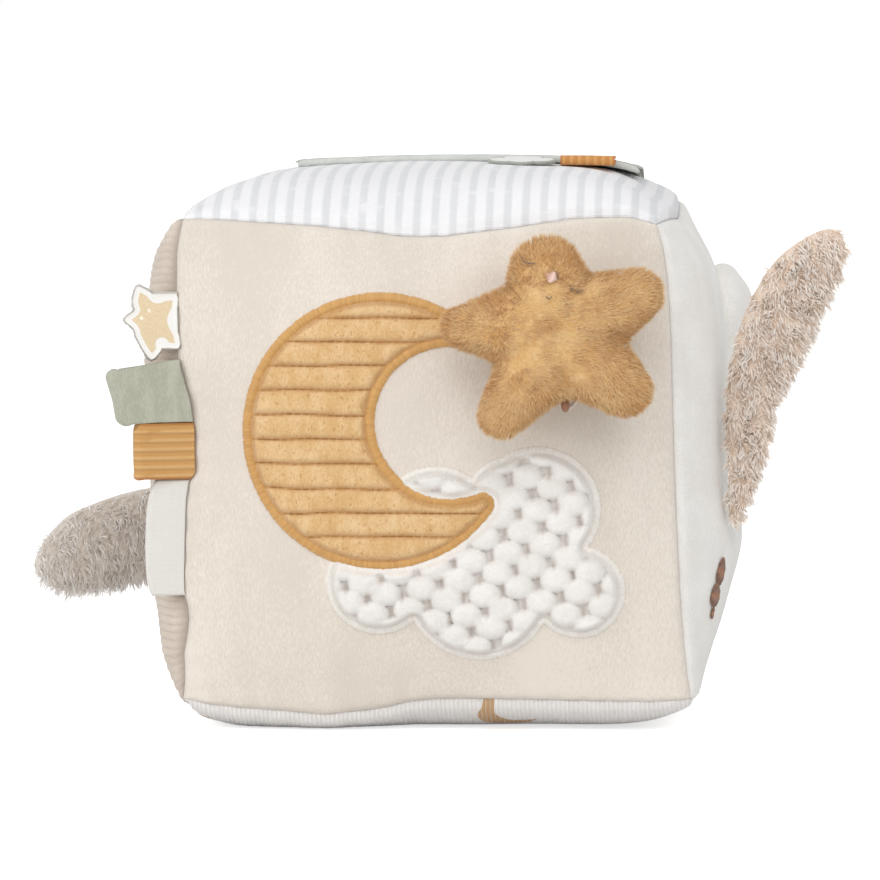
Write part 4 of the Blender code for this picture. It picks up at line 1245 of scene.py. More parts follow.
@dataclass
class CubeCover:
    """The six sewn panels."""

    thickness: float = 0.0022
    roll: float = 0.0080
    swell: float = 0.0004
    groove: float = 0.0004
    groove_width: float = 0.0010
    pucker: float = 0.0002
    dent: float = 0.0006
    rib_count: int = 63
    rib_height: float = 0.00030
    crowding: float = 0.25

    def dents(self, places: Array, seed: float = 1.0) -> Array:
        """The soft unevenness of stuffed cloth."""
        return self.dent * wander(places, 0.034, seed)

    def front_dents(self, x: Array, z: Array) -> Array:
        """The front panel's unevenness, which its patches follow."""
        return self.dents(np.column_stack([x, np.zeros(len(x)), z]))

    def panel(
        self, name: str, face: Face, cells: tuple[int, int], finish: Material, seed: float
    ) -> Piece:
        """Sews one panel.

        Args:
            name: Its name, and that of its solid.
            face: The face that it covers.
            cells: Its cells both ways.
            finish: Its material.
            seed: Sets its unevenness.

        Returns:
            The panel.
        """
        made, a, b = grid(name, cells[0], cells[1], finish)
        reach = 1 - 0.0006
        if face is not Face.LEFT:
            a, b = (reach * (v * (1 + self.crowding) - self.crowding * v**3) for v in (a, b))
        half = SKIN.edge / 2
        from_seam = (1 - np.maximum(np.abs(a), np.abs(b))) * half
        along = np.where(np.abs(a) > np.abs(b), b, a) * half
        base = SKIN.on_face(face, a, b)
        swollen = step_up(from_seam, 0, 0.0022) * (1 - step_up(from_seam, 0.0022, self.roll))
        crease = np.exp(-((from_seam / self.groove_width) ** 2))
        ripple = np.sin(math.tau * along / 0.0085 + 2.5 * wander(base, 0.02, seed))
        near = np.exp(-from_seam / 0.006) * (1 - crease)
        lift = self.swell * swollen + 0.0004 - self.groove * crease + self.pucker * ripple * near
        flat = (
            np.column_stack([base[:, 0], np.zeros(len(a)), base[:, 2]]) if face is Face.FRONT
            else base
        )
        lift += self.dents(flat, seed) * step_up(from_seam, 0, 0.012)
        # Painted shade: darker in the seam creases, most at the left seam, and in the left panel's rib grooves.
        hollow = (0.6 if face is Face.LEFT else 0.12) * crease
        if face is Face.LEFT:
            wave = b + 0.006 * wander(base, 0.03, 5.0)
            rib = np.abs(np.cos(math.pi * self.rib_count * wave / 2)) ** 0.65
            lift += self.rib_height * (rib - 0.8) * (1 - crease)
            hollow = np.maximum(hollow, 0.24 * (1 - rib) ** 1.5)
        move_points(made, SKIN.on_face(face, a, b, lift))
        mark(made, "hollow", hollow)
        if face.value[1] < 0:
            made.data.flip_normals()
        side = math.sqrt(cloth_area(made))
        thicken(made, self.thickness)
        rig.sheet(
            dressed(made, "cube", name),
            flat=(side, side),
            held="stretched",
            rests_on=["fibre_filling"]
        )
        return made

    def build(self) -> None:
        """Sews all six panels."""
        fine, coarse = (128, 128), (96, 96)
        white, rib = WHITE_PLUSH.make(), BottomPrint().make()
        self.panel("front_panel", Face.FRONT, fine, BEIGE_VELOUR.make(), 1.0)
        self.panel("back_panel", Face.BACK, coarse, white, 2.0)
        self.panel("left_panel", Face.LEFT, (44, 7 * self.rib_count), TAUPE_RIB.make(), 3.0)
        self.panel("right_panel", Face.RIGHT, fine, white, 4.0)
        self.panel("top_panel", Face.TOP, fine, STRIPED.make(), 5.0)
        self.panel("bottom_panel", Face.BOTTOM, coarse, rib, 6.0)
        self.sprig()

    def sprig(self) -> None:
        """Stitches the small brown sprig on the right panel."""
        middle = np.array((-0.0525, 0.0419))
        turn = math.radians(14)
        leaves = (
            (0.0012, 0.0041, 84, 0.0086, 0.0046),
            (-0.0014, -0.0026, 100, 0.0070, 0.0056),
            (-0.0024, -0.0078, 92, 0.0040, 0.0012)
        )
        finish, made = BROWN_THREAD.make(), []
        for i, (u, v, lean, length, width) in enumerate(leaves):
            angle = math.radians(lean) - turn
            count = max(int(width / 0.0006), 2)
            for k in range(count):
                across = (k + 0.5) / count * 2 - 1
                t = np.linspace(-1, 1, 12) * length / 2 * math.sqrt(1 - 0.8 * across**2)
                side = across * width / 2 * (1 - 0.5 * t / length)
                y = middle[0] + u + t * math.cos(angle) - side * math.sin(angle)
                z = middle[1] + v + t * math.sin(angle) + side * math.cos(angle)
                made.append(
                    thread(
                        f"leaf_{i}_{k}",
                        SKIN.over(Face.RIGHT, y, z, 0.0009),
                        0.00042,
                        finish,
                        (1.0, 0.0, 0.0)
                    )
                )
        dressed(joined("stitched_sprig", made), "cube")


@dataclass(frozen=True)
class BottomPrint:
    """Fine ribbed knit with small printed crescents."""

    tone: str = "#C9A070"
    spacing: float = 0.096
    first: tuple[float, float] = (0.0212, -0.0635)
    radius: float = 0.0088

    def make(self) -> Material:
        """Builds the material: the knit's ribs, and crescents on a grid across X and Y."""
        paint = Paint("white_rib", 0.85, 0.15)
        axes = paint.node("ShaderNodeSeparateXYZ", {0: paint.place}).outputs
        half = self.spacing / 2

        def circle(shift: tuple[float, float], radius: float) -> Socket:
            """Discs on a grid, moved by a shift."""
            off = []
            for axis, start, move in zip((axes["X"], axes["Y"]), self.first, shift):
                wrapped = paint.math(
                    "FLOORED_MODULO", paint.math("ADD", axis, half - start), self.spacing
                )
                off.append(
                    paint.math(
                        "POWER",
                        paint.math("ABSOLUTE", paint.math("SUBTRACT", wrapped, half + move)),
                        2.0
                    )
                )
            reach = paint.math("POWER", paint.math("ADD", off[0], off[1]), 0.5)
            return paint.ramp(reach, radius + 0.0002, radius - 0.0002)

        crescents = []
        for step in (0.0, half):
            disc = circle((step, step), self.radius)
            bite = circle((step + 0.0036, step - 0.0034), self.radius * 0.85)
            crescents.append(paint.math("MULTIPLY", disc, paint.math("SUBTRACT", 1.0, bite)))
        print_share = paint.math("MAXIMUM", *crescents)
        ribs = paint.wave(Way.X, 0.0013)
        knit = paint.mix(ribs, srgb("#F1ECE8"), srgb("#FBF9F7"))
        faded = paint.math("MULTIPLY", print_share, paint.ramp(ribs, -0.6, 0.4))
        printed = paint.mix(faded, knit, srgb(self.tone))
        # Painted shade in the seam crease, towards #C9C1BA.
        paint.colour(paint.mix(paint.attribute("hollow"), printed, srgb("#C9C1BA")))
        under = paint.bump(paint.noise(0.0006, 2), 0.0001)
        paint.bump(ribs, 0.0003, under)
        return paint.material


@dataclass
class MoonPatch:
    """The quilted moon and its satin edge."""

    cover: CubeCover
    place: tuple[float, float] = (-0.0152, 0.0889)
    radius: float = 0.0406
    bite: float = 0.0216
    bite_shift: tuple[float, float] = (0.0201, 0.0030)
    tip: float = 0.0042
    thickness: float = 0.0027
    pitch: float = 0.0071
    first_channel: float = 0.0583
    stitch: SatinBand = SatinBand(0.0033, 0.0015, 0.00046, 10, 0.00009)

    def outline(self) -> Array:
        """The crescent's edge, counter-clockwise."""
        full = np.array(self.place)
        bite = full + self.bite_shift
        upper, lower = crossings(full, self.radius - self.tip, bite, self.bite + self.tip)
        rim = arc(full, self.radius, bearing(full, upper), bearing(full, lower), 90)[:-1]
        low_tip = arc(lower, self.tip, bearing(full, lower), bearing(lower, bite), 14)[:-1]
        hollow = arc(
            bite, self.bite, bearing(bite, lower), bearing(bite, upper), 60, clockwise=True
        )[:-1]
        high_tip = arc(upper, self.tip, bearing(upper, bite), bearing(full, upper), 14)[:-1]
        return np.array(rim + low_tip + hollow + high_tip)

    def surface(self, x: Array, z: Array, lift: Array | float) -> Array:
        """The dented front panel under the patch."""
        return SKIN.front(x, z, lift + self.cover.front_dents(x, z))

    def build(self) -> None:
        """Makes the quilted patch and the stitches."""
        edge = self.outline()
        field_edge = resampled(edge, 0.0008)
        made, flat, inside = patch("moon_patch", field_edge, 0.00045, GOLD_PLUSH.make(), snap=False)
        keep = inside > 0.0009
        trim(made, keep)
        flat, inside = flat[keep], inside[keep]
        x, z = flat.T
        spots = np.column_stack([x, np.zeros(len(x)), z])
        row = (z - self.first_channel + 0.0007 * wander(spots, 0.016, 2.0)) / self.pitch
        valley = np.abs(np.sin(math.pi * row))
        puff = 1 - (1 - valley) ** 2.6
        height = (
            self.thickness * (0.38 + 0.62 * puff) + 0.00016 * wander(spots, 0.0011, 4.0)
            + 0.0002 * wander(spots, 0.006, 8.0)
        )
        height = 0.0009 + (height - 0.0009) * step_up(inside, 0.0018, 0.0052)
        move_points(made, self.surface(x, z, height))
        # Painted shade under each quilted rib, wider below it. The dashes are the real dark quilting stitches. Just
        # inside the satin band, partly its dark stitch line and partly painted shade beside the raised band.
        under = np.where(row % 1 < 0.5, 0.42, 0.16) + 0.05 * wander(spots, 0.004, 6.0)
        dash = 0.45 + 0.55 * step_up(np.sin(math.tau * x / 0.0024 + 2 * row), -0.7, -0.2)
        hollow = np.maximum(
            0.35 * np.exp(-((valley / under) ** 2)) + dash * 0.75 * np.exp(-((valley / 0.12) ** 2)),
            0.5 * step_up(-inside, -0.0044, -0.0033)
        )
        # Real fine dark specks of the plush.
        hollow += 0.10 * np.clip(wander(spots * (1, 1, 0.6), 0.0008, 7.0) * 2.2, 0, 1)
        mark(made, "hollow", hollow)
        area = cloth_area(made)
        thicken(made, 0.0008)
        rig.sheet(
            dressed(made, "cube", "moon_patch"),
            flat=box_size(flat),
            held="laid",
            rests_on=["front_panel"],
            area=area
        )
        band = self.stitch.make("moon_edge_stitches", edge, self.surface, GOLD_THREAD.make())
        dressed(band, "cube", "moon_edge_stitches")


@dataclass
class CloudPatch:
    """The bubbled cloud and its satin edge."""

    cover: CubeCover
    moon_edge: Array
    place: tuple[float, float] = (0.0124, 0.0534)
    width: float = 0.0875
    lobes: tuple = (
        (0.343, -0.127, 0.157), (0.207, 0.150, 0.212), (0.122, 0.169, 0.160),
        (-0.126, 0.078, 0.217), (-0.323, -0.097, 0.177), (0.013, -0.113, 0.247)
    )
    first_bubble: tuple[float, float] = (0.0184, 0.0479)
    across: tuple[float, float] = (0.00666, -0.00399)
    down: tuple[float, float] = (-0.00405, -0.00619)
    bubble: tuple[float, float] = (0.0047, 0.0038)
    gap_shift: tuple[float, float] = (0.0055, 0.0009)
    gap_size: tuple[float, float] = (0.00070, 0.0018)
    height: float = 0.0038
    margin: float = 0.0013
    stitch: SatinBand = SatinBand(0.0025, 0.0013, 0.00042, 8, 0.00010)

    def outline(self) -> Array:
        """The cloud's edge, counter-clockwise."""
        middle = np.array(self.place)
        return lobed(
            [(middle + np.array((x, z)) * self.width, r * self.width) for x, z, r in self.lobes], 26
        )

    def surface(self, x: Array, z: Array, lift: Array | float) -> Array:
        """The dented front panel under the patch."""
        return SKIN.front(x, z, lift + self.cover.front_dents(x, z))

    def bubbles(self, flat: Array) -> tuple[Array, Array]:
        """How full the plush is at flat places, and how much shade is painted in the gaps and creases between bubbles.
        """
        rng = np.random.default_rng(11)
        steps = np.stack(
            np.meshgrid(np.arange(-14, 15), np.arange(-14, 15)), axis=-1
        ).reshape(-1, 2)
        centres = np.array(self.first_bubble) + steps @ np.array((self.across, self.down))
        gaps = centres + self.gap_shift + rng.normal(0, 0.00030, centres.shape)
        centres = centres + rng.normal(0, 0.00035, centres.shape)
        size = rng.uniform(0.93, 1.07, len(steps))
        full, deep = np.empty(len(flat)), np.empty(len(flat))
        for start in range(0, len(flat), 4000):
            part = flat[start : start + 4000, None]
            reach = (np.abs((part - centres) / self.bubble) ** 2.3).sum(axis=2) / size
            domes = np.clip(1 - reach, 0, 1) ** 0.42
            full[start : start + 4000] = (domes**3).sum(axis=1) ** (1 / 3)
            off = (((part - gaps) / self.gap_size) ** 2).sum(axis=2)
            deep[start : start + 4000] = np.exp(-(off**2)).max(axis=1)
        return (
            np.clip(full, 0, 1) * (1 - 0.55 * deep),
            0.5 * deep + 0.42 * (1 - np.clip(full, 0, 1)) ** 1.3
        )

    def build(self) -> None:
        """Makes the bubbled patch and the stitches."""
        edge = self.outline()
        made, flat, inside = patch(
            "cloud_patch", resampled(edge, 0.0008), 0.00045, POPCORN.make(), snap=False
        )
        under_moon = depth_inside(self.moon_edge, flat)
        keep = (inside > 0.0009) & (under_moon < 0.0012)
        trim(made, keep)
        flat, inside, under_moon = flat[keep], inside[keep], under_moon[keep]
        full, gap = self.bubbles(flat)
        x, z = flat.T
        spots = np.column_stack([x, np.zeros(len(x)), z])
        bubbly = step_up(inside, 0.0022, 0.0022 + self.margin)
        bubbly = bubbly * step_up(-under_moon, -0.0004, 0.0018)
        height = (
            0.0012 + (self.height - 0.0012) * full * bubbly + 0.00016 * wander(spots, 0.0015, 3.0)
        )
        height = 0.0008 + (height - 0.0008) * step_up(inside, 0.0010, 0.0026)
        move_points(made, self.surface(x, z, height))
        # Painted shade in the gaps between bubbles and in a ring just inside the satin band.
        hollow = np.maximum(gap * bubbly, 0.35 * step_up(-inside, -0.0032, -0.0025))
        mark(made, "hollow", np.clip(hollow, 0, 1))
        area = cloth_area(made)
        thicken(made, 0.0007)
        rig.sheet(
            dressed(made, "cube", "cloud_patch"),
            flat=box_size(flat),
            held="laid",
            rests_on=["front_panel"],
            area=area
        )
        path = resampled(edge, self.stitch.pitch / 2)
        share = 1 - 0.85 * step_up(depth_inside(self.moon_edge, path), -0.0006, 0.0008)
        band = self.stitch.make(
            "cloud_edge_stitches", edge, self.surface, CREAM_THREAD.make(), share
        )
        dressed(band, "cube", "cloud_edge_stitches")


@dataclass
class PullStar:
    """The stuffed star with its cord, knot and eyelet."""

    place: tuple[float, float, float] = (0.0361, -0.0960, 0.1185)
    reach: float = 0.0335
    thickness: float = 0.0190
    arms: tuple = (
        (-123.0, 1.010, 0.21, 0.540), (-37.5, 0.985, 0.24, 0.620), (26.3, 0.985, 0.23, 0.585),
        (98.0, 0.825, 0.320, 0.573), (175.2, 0.967, 0.17, 0.567),
    )
    rings: int = 40
    steps: int = 14
    cord_radius: float = 0.0010
    knot_radius: float = 0.0018
    cord_start: float = -0.0568
    fur: Pile = Pile(40000, 0.0021, 0.00036, 0.20, (0.0, 0.0, -0.1), seed=5, clump=0.004, rise=0.24)

    def outline(self) -> Array:
        """The star's seam, from its middle."""
        points = []
        for (turn, length, tip, notch), after in zip(self.arms, self.arms[1:] + self.arms[:1]):
            angle = math.radians(turn)
            forward = np.array((math.cos(angle), math.sin(angle)))
            left = np.array((-forward[1], forward[0]))
            radius = tip * self.reach
            centre = forward * (length * self.reach - radius)
            points += [
                centre + radius * (forward * math.cos(t) + left * math.sin(t))
                for t in (-1.5, -0.75, 0, 0.75, 1.5)
            ]
            between = angle + math.radians((after[0] - turn) % 360) / 2
            points.append(notch * self.reach * np.array((math.cos(between), math.sin(between))))
        return spline(points, self.steps)

    def body(self, finish: Material) -> Piece:
        """Makes the stuffed form, with its seam drawn in and its arms a little uneven."""
        edge = self.outline()
        count = len(edge)
        rows = [math.sin(math.pi * (k + 1) / self.rings / 2) for k in range(self.rings)]
        verts, faces = [], []
        middle = np.array(self.place)
        for side in (-1, 1):
            start = len(verts)
            verts.append(middle + (0, side * self.thickness / 2, 0))
            for share in rows[:-1]:
                full = (1 - share**2.4) ** 0.6
                for point in edge * (share * (1 - 0.012 * share**30)):
                    verts.append(middle + (point[0], side * self.thickness / 2 * full, point[1]))
            for i in range(count):
                j = (i + 1) % count
                faces.append((start, start + 1 + j, start + 1 + i))
                for k in range(self.rings - 2):
                    a, b = start + 1 + k * count, start + 1 + (k + 1) * count
                    faces.append((a + i, a + j, b + j, b + i))
        rim = len(verts)
        verts += [middle + (p[0], 0, p[1]) for p in edge * 0.985]
        for i in range(count):
            j = (i + 1) % count
            for side in (0, 1):
                last = side * (1 + (self.rings - 1) * count) + 1 + (self.rings - 2) * count
                faces.append((last + i, last + j, rim + j, rim + i))
        made = from_faces("star", np.array(verts), faces, finish)
        face_outwards(made)
        places = points_of(made)
        off = (places - middle) * (1, 0, 1)
        sway = np.stack([wander(places, 0.017, s) for s in (1.0, 6.0, 9.0)], axis=1)
        bumps = wander(places, 0.0045, 3.0)[:, None]
        normal = off / np.maximum(np.linalg.norm(off, axis=1), 1e-6)[:, None]
        full = np.abs(places[:, 1:2] - middle[1]) / self.thickness * 2
        places += (
            sway * 0.0004
            + bumps * 0.0002 * (
                np.array((0, 1, 0)) * np.sign(places[:, 1:2] - middle[1]) * full + normal
            )
        )
        move_points(made, places)
        # Painted shade along the rim seam.
        mark(made, "hollow", np.exp(-((full[:, 0] / 0.06) ** 2)) * 0.6)
        return made

    def on_face(self, u: Array, v: Array, lift: Array | float) -> Array:
        """The front of the star at places from its middle."""
        edge = self.outline()
        around = np.unwrap(np.arctan2(edge[:, 1], edge[:, 0]))
        angles = np.arctan2(v, u)
        angles = (angles - around[0]) % math.tau + around[0]
        limit = np.interp(
            angles,
            np.append(around, around[0] + math.tau),
            np.append(np.hypot(*edge.T), np.hypot(*edge[0]))
        )
        share = np.clip(np.hypot(u, v) / limit, 0, 0.999)
        full = (1 - share**2.4) ** 0.6
        x, y, z = self.place
        return np.column_stack([x + u, y - self.thickness / 2 * full - lift, z + v])

    def features(self) -> None:
        """Stitches two closed eyes, a nose and a small mouth on the upper arm."""
        dark, pink = DARK_THREAD.make(), PINK_THREAD.make()
        x, _, z = self.place
        made = []
        turn = math.radians(-27)
        for i, (u, v, half) in enumerate(((-0.0078, 0.0217, 0.0026), (0.0063, 0.0136, 0.0022))):
            t = np.linspace(-1, 1, 15)
            across, drop = t * half, 0.0012 * (t**2) - 0.0008
            pu = u + across * math.cos(turn) - drop * math.sin(turn)
            pv = v + across * math.sin(turn) + drop * math.cos(turn)
            made.append(thread(f"eye_{i}", self.on_face(pu, pv, 0.0013), 0.00024, dark))
        nose = []
        u, v = -0.0006, 0.0169
        for k in range(7):
            shift = (k - 3) * 0.00046
            half = 0.0019 * (1 - abs(shift) / 0.0021)
            t = np.linspace(-1, 1, 9)
            pu = u + t * half * math.cos(turn) - shift * math.sin(turn)
            pv = v + t * half * math.sin(turn) + shift * math.cos(turn)
            nose.append(thread(f"nose_{k}", self.on_face(pu, pv, 0.0014), 0.00030, pink))
        t = np.linspace(-1.1, 1.1, 9)
        made.append(
            thread(
                "mouth",
                self.on_face(-0.0013 + t * 0.0007, 0.0108 + 0.0006 * t**2, 0.0013),
                0.00024,
                dark
            )
        )
        edge = self.on_face(
            u + 0.0019 * np.cos(turn + t * 0.8 + 0.9),
            v + 0.0019 * np.sin(turn + t * 0.8 + 0.9),
            0.0014
        )
        made.append(thread("nose_edge", edge, 0.00020, dark))
        dressed(joined("stitched_eyes", made), "star")
        dressed(joined("stitched_nose", nose), "star")

    def braid(self, finish: Material) -> None:
        """Makes the braided cord from the pull unit to its knot, and the knot."""
        first, second = self.arms[0], self.arms[1]
        angle, notch = math.radians((first[0] + second[0]) / 2), first[3] * self.reach
        x = self.place[0] + notch * math.cos(angle)
        knot_z = self.place[2] + notch * math.sin(angle) - self.knot_radius - 0.0003
        end = np.array((x, self.place[1], knot_z))
        start = np.array((x, self.cord_start, knot_z))
        rows, sides = 150, 18
        t = np.linspace(0, 1, rows)
        core = start + (end - start) * t[:, None]
        verts = []
        for share, centre in zip(t, core):
            twist = share * (end[1] - start[1]) / 0.0030 * math.tau
            for k in range(sides):
                angle = math.tau * k / sides
                one = abs(math.cos(1.5 * angle + twist / 2))
                other = abs(math.cos(1.5 * angle - twist / 2))
                out = np.array((math.cos(angle), 0, math.sin(angle)))
                verts.append(centre + out * self.cord_radius * (0.80 + 0.20 * one * other**0.5))
        faces = tube_sides(rows, sides)
        faces += [tuple(range(sides)), tuple((rows - 1) * sides + k for k in range(sides))]
        cord = from_faces("pull_cord", np.array(verts), faces, finish)
        face_outwards(cord)
        mark(cord, "thread", np.tile(np.arange(sides) % 6 / 6, rows))
        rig.blend(cord, "cube", "pull_cord", start=tuple(start), end=tuple(end))
        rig.replaces(cord, "pull_cord")
        report(cord)

        deselect()
        bpy.ops.mesh.primitive_uv_sphere_add(
            segments=36, ring_count=24, radius=self.knot_radius, location=tuple(end)
        )
        bpy.ops.object.transform_apply(location=True, rotation=True, scale=True)
        knot = take("cord_knot", finish)
        places = points_of(knot)
        off = (places - end) / self.knot_radius
        wraps = np.abs(np.sin(4.5 * np.arctan2(off[:, 2], off[:, 1]) + 5 * off[:, 0]))
        shape = np.array((0.72, 0.80, 1.15))
        move_points(
            knot,
            end - (0, 0, 0.0004)
            + off * shape * self.knot_radius * (0.82 + 0.18 * wraps**0.5)[:, None]
        )
        # Painted shade in the grooves between the wraps.
        mark(knot, "hollow", (1 - wraps) * 0.6)
        dressed(knot, "star", "cord_knot")

        def surface(u: Array, v: Array, lift: Array | float) -> Array:
            """The front panel round the eyelet."""
            return SKIN.front(u, v, lift)

        t = np.linspace(0, math.tau, 60, endpoint=False)
        ring = np.column_stack([x + 0.0032 * np.cos(t), knot_z + 0.0032 * np.sin(t)])
        band = SatinBand(0.0017, 0.0010, 0.0004, 6, 0.00004)
        dressed(band.make("cord_eyelet", ring, surface, BEIGE_THREAD.make()), "cube", "cord_eyelet")

    def build(self) -> None:
        """Makes the star and all that hangs on it."""
        body = self.body(STAR_BASE.make())
        middle = np.array(self.place)

        def outward(foot: Array) -> Array:
            """The lay of the star's fibres, from its middle out along its arms."""
            off = (foot - middle) * (1, 0, 1)
            across, up = wander(foot, 0.010, 4.0), wander(foot, 0.010, 9.0)
            sway = np.column_stack([0.5 * across, np.zeros(len(foot)), 0.4 * up])
            reached = np.linalg.norm(off, axis=1)
            far = step_up(reached, 0.30 * self.reach, 0.65 * self.reach)[:, None]
            return 1.1 * off / self.reach * far + (1 - far) * (0.9, 0.0, 0.15) + sway

        pile = self.fur.grow("star_pile", body, STAR_FUR.make(), flow=outward)
        dressed(body, "star", "star_front_cover", "star_back_cover")
        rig.padded(body, 0.85)
        dressed(pile, "star")
        self.features()
        self.braid(BROWN_THREAD.make())


@dataclass
class Ribbon:
    """A folded loop of ribbon, sewn down at its root."""

    name: str
    body: str
    length: float
    width: float
    bulb: float
    thickness: float
    origin: Array
    along: Array
    up: Array
    finish: Material
    carrier: str
    sway: float = 0.0004
    curl: float = 0.0
    droop: float = 0.0
    bow: float = 0.0
    corner: float = 0.0
    taper: float = 0.0
    lap: float | None = None

    def path(self, samples: int) -> tuple[Array, float]:
        """The middle of the ribbon from root to root, and its length."""
        radius = self.bulb / 2 - self.thickness / 2
        centre = self.length - self.bulb / 2
        half_root = self.thickness / 2 + 0.00015
        lean = math.asin((radius - half_root) / centre)
        t = np.linspace(-math.pi / 2 - lean, math.pi / 2 + lean, 40)
        fold = np.column_stack([centre + radius * np.cos(t), radius * np.sin(t)])
        whole = np.vstack([[0, -half_root], fold, [0, half_root]])
        reach = np.concatenate([[0], np.cumsum(np.hypot(*np.diff(whole, axis=0).T))])
        at = np.linspace(0, reach[-1], samples)
        return np.stack(
            [np.interp(at, reach, whole[:, k]) for k in (0, 1)], axis=1
        ), float(reach[-1])

    def build(self) -> Piece:
        """Folds the ribbon."""
        cells = (96, 40)
        made, a, b = grid(self.name, *cells, self.finish)
        path, length = self.path(cells[0] + 1)
        share = (a + 1) / 2
        u = np.interp(share, np.linspace(0, 1, len(path)), path[:, 0])
        w = np.interp(share, np.linspace(0, 1, len(path)), path[:, 1])
        v = b * self.width / 2
        out = np.cross(self.along, self.up)
        base = self.origin + u[:, None] * self.along + v[:, None] * self.up
        free = (u / self.length) ** 2
        wave = self.sway * wander(base, 0.011, len(self.name)) * free
        w = w + wave + self.curl * free
        u = u * (1 - self.bow * (b * b) ** 1.5)
        if self.corner:
            over = np.clip(np.abs(v) - (self.width / 2 - self.corner), 0, self.corner)
            u = (
                u
                - (self.corner - np.sqrt(self.corner**2 - 0.96 * over**2)) * step_up(
                    u / self.length, 0.3, 1
                )
            )
        v = v * (1 - self.taper * u / self.length)
        v = v * (1 + 0.05 * free * self.droop / 0.003) - self.droop * free**0.6
        places = self.origin + u[:, None] * self.along + v[:, None] * self.up + w[:, None] * out
        if self.lap is not None:
            places[:, 0] += SKIN.seam_x(places[:, 2]) + self.lap - self.origin[0]
        move_points(made, places)
        mark(made, "edge", step_up(np.abs(b), 0.90, 0.94) * 0.85)
        thicken(made, self.thickness, 0.0)
        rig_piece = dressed(made, self.body, self.name)
        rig.sheet(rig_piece, flat=(self.width, length), held="folded", rests_on=[self.carrier])
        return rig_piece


@dataclass
class SeamTags:
    """The four tags in the front left seam."""

    turn: float = math.radians(192)
    lap: float = 0.0004
    star_height: float = 0.1206
    star_drop: float = 0.0113
    star_reach: float = 0.0112
    star_tab: float = 0.0165
    star_middle: float = 0.0074
    star_thickness: float = 0.0012
    star_arms: tuple = (
        (3, 0.0086, 0.0071),
        (67, 0.0113, 0.0071),
        (134, 0.0106, 0.0060),
        (227, 0.0111, 0.0071),
        (273, 0.0116, 0.0071)
    )
    gap: float = 0.0003
    green: tuple = (0.0225, 0.0182, 0.0060, 0.0012)
    ochre: tuple = (0.0180, 0.0164, 0.0048, 0.0008)
    label: tuple = (0.0114, 0.0340, 0.0022, 0.0004)

    def root(self, height: float, thickness: float) -> Array:
        """Where a tag leaves the seam."""
        unit = np.array([[-1.0, -1.0, (height - SKIN.centre) / (SKIN.edge / 2)]])
        return SKIN.at(unit)[0] - SKIN.sewn(unit)[0] + (self.lap, -thickness / 2 - 2 * self.gap, 0)

    def build(self) -> None:
        """Makes the printed star tag and the three loops."""
        along = np.array((math.cos(self.turn), math.sin(self.turn), 0))
        up = np.array((0.0, 0.0, 1.0))
        green_at = self.star_height - self.star_drop - self.green[1] / 2
        ochre_at = green_at - (self.green[1] + self.ochre[1]) / 2 - self.gap
        label_at = ochre_at - (self.ochre[1] + self.label[1]) / 2 - self.gap
        loops = (
            (
                "green_loop", self.green, green_at, SAGE_VELOUR.make(), 0.0006, 0.0006, 0.0020, 0.0,
                0.0024, 0.20, self.lap
            ),
            (
                "ochre_loop", self.ochre, ochre_at, OCHRE_RIBBON.make(), 0.0003, -0.0002, 0.0, 0.02,
                0.0020, 0.0, self.lap
            ),
            (
                "blank_label", self.label, label_at, WHITE_SATIN.make(), 0.0007, 0.0006, 0.0, 0.14,
                0.0, 0.0, self.lap
            ),
        )
        for name, size, height, finish, *form in loops:
            origin = self.root(height, 2 * size[3] + self.gap)
            Ribbon(name, name, *size, origin, along, up, finish, "left_panel", *form).build()
        self.star_tag(along, up)

    def star_tag(self, along: Array, up: Array) -> None:
        """Cuts the printed star tag with its square tab."""
        reach, tab = self.star_reach, self.star_tab
        middle = np.array((self.star_middle, 0.0))
        points = []
        turned = self.star_arms[1:] + self.star_arms[:1]
        for (turn, length, notch), (after, *_) in zip(self.star_arms, turned):
            angle = math.radians(turn)
            forward = np.array((math.cos(angle), math.sin(angle)))
            left = np.array((-forward[1], forward[0]))
            radius = 0.25 * reach
            centre = forward * (length - radius)
            points += [centre - left * radius, centre + forward * radius, centre + left * radius]
            between = angle + math.radians((after - turn) % 360) / 2
            points.append(notch * np.array((math.cos(between), math.sin(between))))
        star = middle + spline(points, 10)
        square = np.array(
            ((0, -tab / 2), (middle[0], -tab / 2), (middle[0], tab / 2), (0, tab / 2))
        )
        low, high = np.minimum(star.min(0), (0, -tab / 2)), np.maximum(star.max(0), (0, tab / 2))
        step = 0.00022
        cells = np.ceil((high - low + 2 * step) / step).astype(int)
        made, a, b = grid("star_tag", int(cells[0]), int(cells[1]), TagPrint().make())
        flat = np.stack(
            [
                low[0] - step + (a + 1) / 2 * cells[0] * step,
                low[1] - step + (b + 1) / 2 * cells[1] * step
            ],
            axis=1
        )
        inside = np.maximum(depth_inside(star, flat), depth_inside(square, flat))
        move_points(made, np.column_stack([flat, np.zeros(len(flat))]))
        keep = inside > -0.35 * step
        trim(made, keep)
        within = depth_inside(star, flat)[keep]
        flat, inside = flat[keep], np.maximum(inside[keep], 0)
        out = np.cross(along, up)
        origin = self.root(self.star_height, self.star_thickness)
        bow = (
            0.0009 * (flat[:, 0] / tab) ** 2
            + 0.0003 * wander(np.column_stack([flat, flat[:, 0] * 0]), 0.009, 2.0)
        )
        puff = 0.00035 * np.sqrt(np.clip(inside / 0.0012, 0, 1))
        places = origin + flat[:, :1] * along + flat[:, 1:] * up + (bow + puff)[:, None] * out
        places[:, 0] += SKIN.seam_x(places[:, 2]) + self.lap - origin[0]
        move_points(made, places)
        mark(made, "inside", inside * 1000)
        mark(made, "within", within * 1000)
        off = flat - middle
        glints = (((0.0033, 0.0008), 0.0152), ((0.0010, 0.0030), 0.0136))
        glint = [(np.abs(off - spot) ** 0.6).sum(1) < reached for spot, reached in glints]
